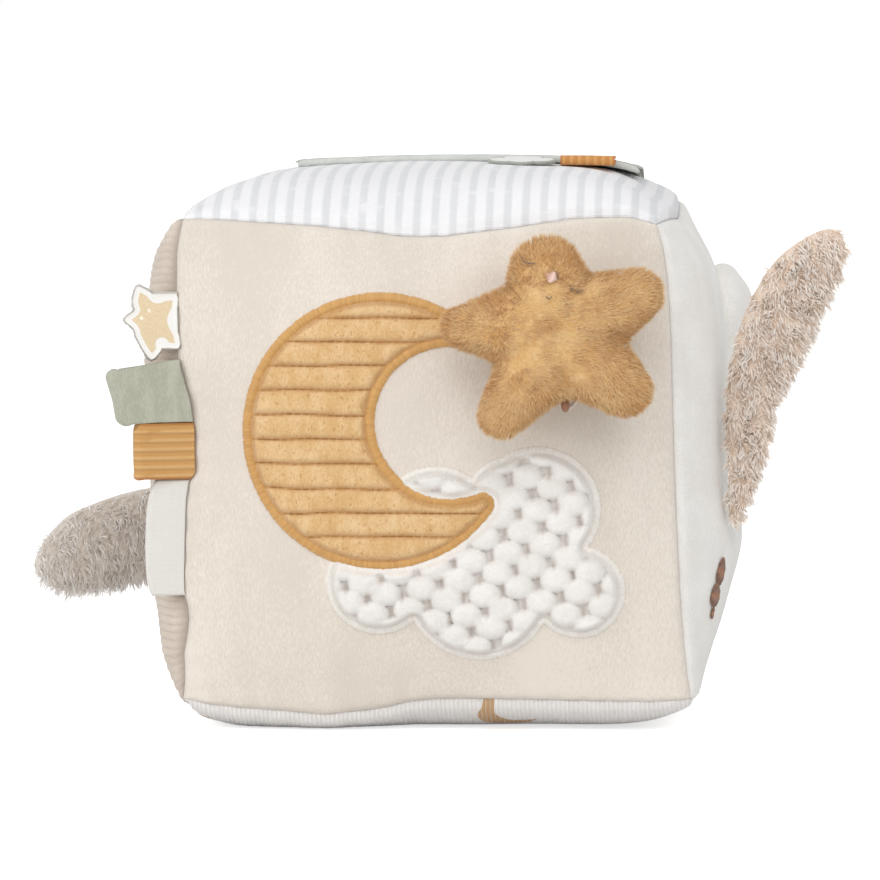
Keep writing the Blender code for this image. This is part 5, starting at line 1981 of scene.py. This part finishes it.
        mark(made, "glint", np.logical_or(*glint).astype(float))
        thicken(made, self.star_thickness, 0.0)
        tag = dressed(made, "star_tag", "star_tag")
        area = float(len(flat)) * step * step
        size = (float(high[0] - low[0]), float(high[1] - low[1]))
        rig.sheet(
            tag, flat=size, held="hung", rests_on=["left_panel"], area=min(area, size[0] * size[1])
        )


@dataclass(frozen=True)
class TagPrint:
    """A sand field with a white border, and a grey edge of painted shade round the cut edge."""

    field_tone: str = "#E7D3B3"
    border: str = "#F3F1EC"
    # The grey of the painted shade round the tag's edge.
    rim_shade: str = "#CBC6BF"

    def make(self) -> Material:
        """Builds the material from the point attributes inside and within, in millimetres."""
        paint = Paint("tag_print", 0.75, 0.1)
        inside = paint.attribute("inside")
        woven = paint.ramp(paint.noise(0.0005, 2), 0.3, 0.7)
        sand = paint.mix(woven, srgb(self.field_tone), srgb("#DEC8A2"))
        bordered = paint.mix(
            paint.ramp(paint.attribute("within"), 1.75, 1.95), srgb(self.border), sand
        )
        glints = paint.mix(paint.attribute("glint"), bordered, srgb("#FFF6E4"))
        # Painted shade: a grey rim where inside is under 0.24 mm, which also covers the tag's cut sides.
        paint.colour(paint.mix(paint.ramp(inside, 0.24, 0.16), glints, srgb(self.rim_shade)))
        paint.bump(paint.noise(0.0004, 2), 0.00005)
        return paint.material


@dataclass(frozen=True)
class LeafPrint:
    """White cloth with a grey-green overlocked edge."""

    cloth: str = "#F4F3F1"
    edge: str = "#A9ADA3"

    def make(self) -> Material:
        """Builds the material from the point attribute inside, in millimetres."""
        paint = Paint("leaf_print", 0.8, 0.1)
        inside = paint.attribute("inside")
        woven = paint.mix(paint.noise(0.0006, 2), srgb(self.cloth), srgb("#E9E8E5"))
        paint.colour(paint.mix(paint.ramp(inside, 0.9, 0.65), woven, srgb(self.edge)))
        paint.bump(paint.noise(0.0004, 2), 0.00006)
        return paint.material


@dataclass
class TopFlap:
    """The rustling flap on the top, with a leaf tag and a ribbon loop at its front edge."""

    gap: float = 0.0003
    left: float = -0.62
    right: float = 0.83
    front: float = 0.30
    back: float = 0.90
    lift: float = 0.0015
    fabric: float = 0.0005
    film: float = 0.00015
    margin: float = 0.003
    leaf_share: float = 0.350
    leaf_length: float = 0.0215
    leaf_thickness: float = 0.0010
    leaf_droop: float = math.radians(1)
    leaf_lobes: tuple = (
        (0.30, 0.0, 0.30), (0.66, -0.24, 0.24), (0.80, 0.0, 0.20), (0.66, 0.24, 0.24)
    )
    loop_share: float = 0.622
    hem_size: tuple[float, float] = (0.0024, 0.0021)
    loop: tuple = (0.0150, 0.0164, 0.0030, 0.0008)

    def at(self, a: Array, b: Array, level: Array | float) -> Array:
        """A place on the flap, level above its underside."""
        along = (1 + a) / 2
        unit = np.ones((len(a), 3))
        unit[:, 0] = self.left + (self.right - self.left) * along
        unit[:, 1] = self.front + (self.back - self.front) * (1 + b) / 2
        raised = self.gap + self.lift * along**2 * (1 - b) / 2
        return SKIN.at(unit, raised + level) - SKIN.sewn(unit)

    def layer(
        self,
        name: str,
        base: float,
        thickness: float,
        margin: float,
        finish: Material,
        hem: bool
    ) -> None:
        """One layer, from base to base plus thickness above the underside."""
        made, a, b = grid(name, 120, 60, finish)
        shrink = 1 - margin / (SKIN.edge / 2)
        places = self.at(a * shrink, b * shrink, base + thickness)
        if hem:
            edge = np.minimum((1 - np.abs(a)) * 0.050, (1 - np.abs(b)) * 0.023)
            places[:, 2] += (
                0.00025 * np.exp(-(((edge - 0.0012) / 0.0007) ** 2))
                + 0.00012 * (wander(places, 0.006, 2.0) + 1) * step_up(edge, 0, 0.002)
            )
        move_points(made, places)
        area = sum(p.area for p in made.data.polygons)
        thicken(made, thickness)
        layer = dressed(made, "flap", name)
        width = float(np.linalg.norm(places[a > 0.999].mean(0) - places[a < -0.999].mean(0)))
        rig.sheet(
            layer,
            flat=(width * 1.01, area / width * 1.0),
            held="laid",
            rests_on=["top_panel"],
            area=area
        )

    def frame(self, share: float, thickness: float) -> Array:
        """Where a tag leaves the flap's front edge."""
        film_base = self.fabric + self.gap
        middle = film_base + self.film / 2
        a = np.array([2 * (share - self.left) / (self.right - self.left) - 1])
        place = self.at(a, np.array([-1.0]), middle)[0]
        place[1] -= 2 * self.gap
        place[2] += max(thickness / 2 - middle, 0)
        return place

    def build(self) -> None:
        """Makes the layers and both tags."""
        cotton = SAGE_COTTON.make()
        film_base = self.fabric + self.gap
        top_base = film_base + self.film + self.gap
        self.layer("flap_lining", 0, self.fabric, 0, cotton, False)
        self.layer(
            "flap_film", film_base, self.film, self.margin, Moulded("film", "#E4E4E2").make(), False
        )
        self.layer("flap_top", top_base, self.fabric, 0, cotton, True)
        self.hem(
            Plush("hem_cotton", "#D3D5D0", "#C6C9C3", "#9DA098", 0.0005, 0.00008, 0.006).make()
        )
        self.leaf()
        origin = self.frame(self.loop_share, self.loop[2])
        forward, side = np.array((0.0, -1.0, 0.0)), np.array((1.0, 0.0, 0.0))
        Ribbon(
            "flap_loop", "flap_loop", *self.loop, origin, forward, side, OCHRE_FLAT.make(),
            "flap_top", 0.0003
        ).build()

    def hem(self, finish: Material) -> None:
        """Rolls the front edge of the three layers into one soft hem."""
        rows, sides = 160, 16
        t = np.linspace(-1, 1, rows)
        edge = self.at(t, np.full(rows, -1.0), self.fabric + self.gap + self.film / 2)
        ends = np.sqrt(np.clip(1 - np.abs(t) ** 60, 0.02, 1))
        rough = 1 + 0.06 * wander(edge, 0.004, 3.0)
        rings = []
        for k in range(sides):
            turn = math.tau * k / sides
            deep, high = self.hem_size
            out = np.array((0.0, math.cos(turn) * deep, math.sin(turn) * high)) / 2
            rings.append(edge + out * (ends * rough)[:, None])
        verts = np.stack(rings, axis=1).reshape(-1, 3)
        faces = tube_sides(rows, sides)
        faces += [tuple(range(sides)), tuple((rows - 1) * sides + k for k in range(sides))]
        made = from_faces("flap_hem", verts, faces, finish)
        face_outwards(made)
        dressed(made, "flap")

    def leaf(self) -> None:
        """Cuts the leaf tag."""
        size = self.leaf_length
        lobes = [(np.array((x, y)) * size, r * size) for x, y, r in self.leaf_lobes]
        outline = resampled(lobed(lobes, 24), 0.00025)
        made, flat, inside = patch("leaf_tag", outline, 0.00028, LeafPrint().make())
        origin = self.frame(self.leaf_share, self.leaf_thickness)
        along = np.array((0.0, -math.cos(self.leaf_droop), -math.sin(self.leaf_droop)))
        side = np.array((1.0, 0.0, 0.0))
        up = np.cross(side, along) * -1
        puff = 0.0003 * np.sqrt(np.clip(inside / 0.001, 0, 1))
        bend = (
            -0.0007 * (flat[:, 0] / self.leaf_length) ** 2
            * step_up(flat[:, 0], 0, self.leaf_length)
        )
        move_points(
            made, origin + flat[:, :1] * along + flat[:, 1:] * side + (puff + bend)[:, None] * up
        )
        mark(made, "inside", inside * 1000)
        area = sum(p.area for p in made.data.polygons)
        thicken(made, self.leaf_thickness * 0.9, 0.0)
        tag = dressed(made, "leaf_tag", "leaf_tag")
        size = outline.max(0) - outline.min(0)
        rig.sheet(
            tag,
            flat=(float(size[0]), float(size[1])),
            held="laid",
            rests_on=["flap_top"],
            area=float(min(area, size[0] * size[1]))
        )


@dataclass
class Ears:
    """Both ears: a shaggy side, a smooth side and the right ear's root."""

    pile_depth: float = 0.0060
    back_depth: float = 0.0030
    root_depth: float = 0.0085
    steps: int = 9
    rings: int = 26
    right_width: float = 0.0385
    right_height: float = 0.0870
    right_foot: tuple[float, float] = (0.0592, -0.0470)
    right_turn: float = math.radians(16)
    right_shares: tuple = (
        (0.14, 0.00), (0.29, 0.14), (0.37, 0.25), (0.45, 0.40), (0.62, 0.51), (0.75, 0.63),
        (0.88, 0.74), (1.02, 0.86), (1.08, 0.95), (0.98, 1.00), (0.80, 0.98), (0.56, 0.91),
        (0.38, 0.81), (0.24, 0.69), (0.14, 0.54), (0.10, 0.38), (0.10, 0.23), (0.09, 0.08),
    )
    root_face: tuple[float, float] = (0.04, 0.52)
    root_height: tuple[float, float] = (0.20, 0.765)
    root_unit: float = 0.019
    fluff: float = 0.0013
    fur_edge: float = 0.0045
    right_fur: Pile = Pile(
        9000, 0.0042, 0.00048, 0.40, (0.08, -0.1, -0.42), True, 8, 0.0038, 600, 0.35, 0.40
    )
    left_fur: Pile = Pile(
        6000, 0.0044, 0.00050, 0.36, (-0.20, -0.1, -0.60), True, 9, 0.0045, 420, 0.40, 0.40
    )
    left_width: float = 0.0280
    left_root: float = 0.0500
    left_bend: tuple[float, float, float] = (-0.1030, 0.0600, 0.0462)
    left_tip: tuple[float, float, float] = (-0.1258, 0.0, 0.0425)
    left_shares: tuple = (
        (-0.30, 0.00), (0.30, 0.00), (0.44, 0.18), (0.50, 0.42), (0.47, 0.66), (0.36, 0.86),
        (0.00, 1.00), (-0.36, 0.90), (-0.50, 0.68), (-0.50, 0.42), (-0.42, 0.18),
    )

    def half(
        self,
        name: str,
        outline: Array,
        skin: Callable[[Array, Array], Array],
        depth: float,
        finish: Material,
        fluff: float = 0.0,
        unit: float = 1.0
    ) -> Piece:
        """One padded side of an ear, closed at its seam.

        Args:
            name: Its name.
            outline: The ear's edge, in flat coordinates.
            skin: The place of flat points at a depth off the seam.
            depth: How full it is, negative on the front.
            finish: Its material.
            fluff: How far its tufts stand out.
            unit: The length in metres of one step of the outline's coordinates.

        Returns:
            The padded side.
        """
        middle = outline.mean(axis=0)
        count = len(outline)
        rim = math.copysign(0.00015, depth)
        rings = self.rings * (2 if fluff else 1)
        rows = [math.sin(math.pi * (k + 1) / rings / 2) for k in range(rings)]
        flats, depths = [middle[None]], [np.array([rim + depth])]
        for share in rows:
            flats.append(middle + (outline - middle) * share)
            depths.append(np.full(count, rim + depth * max(1 - share**2.4, 0) ** 0.6))
        flats.append(middle[None])
        depths.append(np.array([rim]))
        flat = np.vstack(flats)
        off = np.concatenate(depths)
        rough = wander(np.column_stack([flat, flat[:, 0] * 0]) * unit, 0.008, abs(depth) * 1000)
        off = off + np.where(np.abs(off) > abs(rim) * 1.01, 0.12 * (off - rim) * rough, 0)
        drawn = np.column_stack([flat * (1, 0.6), rough * 0.0012])
        tufts = 1 - np.abs(wander(drawn, 0.0036, 3.0)) * 1.7
        fine = 1 - np.abs(wander(np.column_stack([flat, rough * 0.0012]), 0.0015, 5.0)) * 1.7
        puff = 0.65 * tufts + 0.35 * fine
        raised = math.copysign(fluff, depth) * (puff - 0.6)
        off = off + raised * np.clip(np.abs(off / depth) * 2, 0, 1)
        last, back = 1 + (rings - 1) * count, len(flat) - 1
        faces = []
        for i in range(count):
            j = (i + 1) % count
            faces.append((0, 1 + i, 1 + j))
            for k in range(rings - 1):
                a, b = 1 + k * count, 1 + (k + 1) * count
                faces.append((a + i, b + i, b + j, a + j))
            faces.append((back, last + j, last + i))
        made = from_faces(name, skin(flat, off), faces, finish)
        face_outwards(made)
        # Painted shade between the tufts.
        if fluff:
            mark(made, "hollow", np.clip(1.1 - puff, 0, 1) ** 1.5)
        return made

    def build(self) -> None:
        """Makes both ears and the root."""
        base, fur, white = EAR_BASE.make(), EAR_FUR.make(), WHITE_PLUSH.make()
        self.right(base, fur, white)
        self.left(white)

    def right(self, base: Material, fur: Material, white: Material) -> None:
        """Makes the right ear, which faces the front."""
        foot, deep = self.right_foot
        root = SKIN.over(Face.RIGHT, np.array([deep]), np.array([foot + self.right_height / 2]))[0]
        across = np.array((math.cos(self.right_turn), math.sin(self.right_turn), 0))
        back = np.array((-math.sin(self.right_turn), math.cos(self.right_turn), 0))
        outline = spline(
            [(x * self.right_width, z * self.right_height) for x, z in self.right_shares],
            self.steps
        )

        def skin(flat: Array, depth: Array) -> Array:
            """The place of flat points of the right ear."""
            leant = SKIN.lean * (self.right_height / 2 - flat[:, 1]) / SKIN.edge
            place = np.column_stack(
                [root[0] + leant, np.full(len(flat), root[1]), foot + flat[:, 1]]
            )
            return place + across * flat[:, :1] + back * depth[:, None]

        def smooth_side(spots: Array) -> Array:
            """Where the white side behind the ear stays bare."""
            return spots[:, 1] > root[1] + 0.30 * (spots[:, 0] - root[0]) + self.fur_edge

        def shade(spots: Array) -> Array:
            """How much shadow is painted on the fibres that lie in the fold at the root."""
            x, z = spots[:, 0], spots[:, 2]
            fold = 0.75 * step_up(root[0] + 0.0075 - x, 0, 0.005)
            return fold * step_up(0.118 - z, 0, 0.012) * step_up(z, 0.076, 0.086)

        full = -self.pile_depth * 0.75
        inner = self.half("right_ear_inner", outline, skin, full, base, self.fluff)
        pile = self.right_fur.grow("right_ear_pile", inner, fur, smooth_side, shade=shade)
        outer = self.half("right_ear_outer", outline, skin, self.back_depth, white)
        dressed(inner, "right_ear", "right_ear_inner")
        dressed(outer, "right_ear", "right_ear_outer")
        dressed(pile, "right_ear")
        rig.padded(inner, 0.5)
        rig.padded(outer, 0.4)
        self.root(white)

    def root(self, finish: Material) -> None:
        """Makes the padded root that the right ear folds against."""
        t = np.linspace(0, math.tau, 96, endpoint=False)
        ring = np.column_stack([np.cos(t), np.sin(t)])
        (low, high), (bottom, top) = self.root_face, self.root_height

        def skin(flat: Array, depth: Array) -> Array:
            """The place of flat points of the root, on the right panel."""
            unit = np.ones((len(flat), 3))
            unit[:, 1] = (low + high) / 2 + (high - low) / 2 * flat[:, 0]
            unit[:, 2] = (bottom + top) / 2 + (top - bottom) / 2 * flat[:, 1]
            return SKIN.at(unit, depth)

        depth = self.root_depth
        pad = self.half("right_ear_root", ring, skin, depth, finish, unit=self.root_unit)
        dressed(pad, "cube", "right_ear_root")
        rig.padded(pad, 0.6)

    def left(self, white: Material) -> None:
        """Makes the left ear, which leaves the back left seam and bends forwards."""
        unit = np.array([[-1.0, 1.0, (self.left_root - SKIN.centre) / (SKIN.edge / 2)]])
        root = SKIN.at(unit)[0] + np.array((-0.0012, 0.0012, 0))
        bend, tip = np.array(self.left_bend), np.array(self.left_tip)
        outline = spline(
            [(x * self.left_width, along) for x, along in self.left_shares], self.steps
        )

        def skin(flat: Array, depth: Array) -> Array:
            """The place of flat points of the left ear, along its bend."""
            t = flat[:, 1:2]
            place = (1 - t) ** 2 * root + 2 * t * (1 - t) * bend + t**2 * tip
            run = (bend - root) * (1 - t) + (tip - bend) * t
            run /= np.linalg.norm(run, axis=1)[:, None]
            back = np.cross(run, (0.0, 0.0, 1.0))
            back /= np.linalg.norm(back, axis=1)[:, None]
            return place + np.cross(back, run) * flat[:, :1] + back * depth[:, None]

        full = -self.pile_depth * 0.65
        inner = self.half("left_ear_inner", outline, skin, full, PALE_BASE.make(), self.fluff)
        outer = self.half("left_ear_outer", outline, skin, self.back_depth, white)

        def upper(spots: Array) -> Array:
            """Where the spots lie above the fur's upper edge."""
            near = np.clip((root[0] - spots[:, 0]) / (root[0] - tip[0]), 0, 1)
            return spots[:, 2] > root[2] + (tip[2] - root[2]) * near + 0.7 * self.left_width

        pile = self.left_fur.grow("left_ear_pile", inner, PALE_FUR.make(), upper)
        dressed(inner, "left_ear", "left_ear_inner")
        dressed(outer, "left_ear", "left_ear_outer")
        dressed(pile, "left_ear")
        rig.padded(inner, 0.5)
        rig.padded(outer, 0.4)


@dataclass
class InnerWorks:
    """The parts inside, which keep their solids and get their finishes."""

    nodes: dict
    plastic: tuple = (
        "pull_case_base", "pull_case_cover", "cord_reel", "rattle_cup_front", "rattle_cup_back",
        "rattle_ball"
    )
    steel: tuple = ("return_spring", "buzz_weight")
    fibre: tuple = ("fibre_filling", "star_filling")

    def build(self) -> None:
        """Gives each solid its material."""
        groups = (
            (self.plastic, Moulded("abs", "#DAD8D3").make()),
            (self.steel, Moulded("spring_steel", "#B4B5B8", True).make()),
            (
                self.fibre,
                Plush("fibre", "#F5F3F0", "#E4E1DC", "#CFCAC4", 0.0009, 0.0008, 0.006).make()
            ),
        )
        for names, finish in groups:
            for name in names:
                self.nodes[name].data.materials.clear()
                self.nodes[name].data.materials.append(finish)
                log.info("%s: %s", name, finish.name)


def main() -> None:
    """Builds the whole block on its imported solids."""
    logging.basicConfig(level=logging.INFO, format="%(message)s")
    bpy.context.scene.view_settings.view_transform = "Standard"
    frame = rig.load()
    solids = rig.bounds()
    Studio().build()
    InnerWorks(frame["nodes"]).build()
    cover = CubeCover()
    cover.build()
    moon = MoonPatch(cover)
    moon.build()
    CloudPatch(cover, moon.outline()).build()
    PullStar().build()
    SeamTags().build()
    TopFlap().build()
    Ears().build()
    with open("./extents.json", "w") as out:
        json.dump(
            {"solids": [list(c) for c in solids], "looks": [list(c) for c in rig.bounds()]}, out
        )


if __name__ == "__main__":
    main()
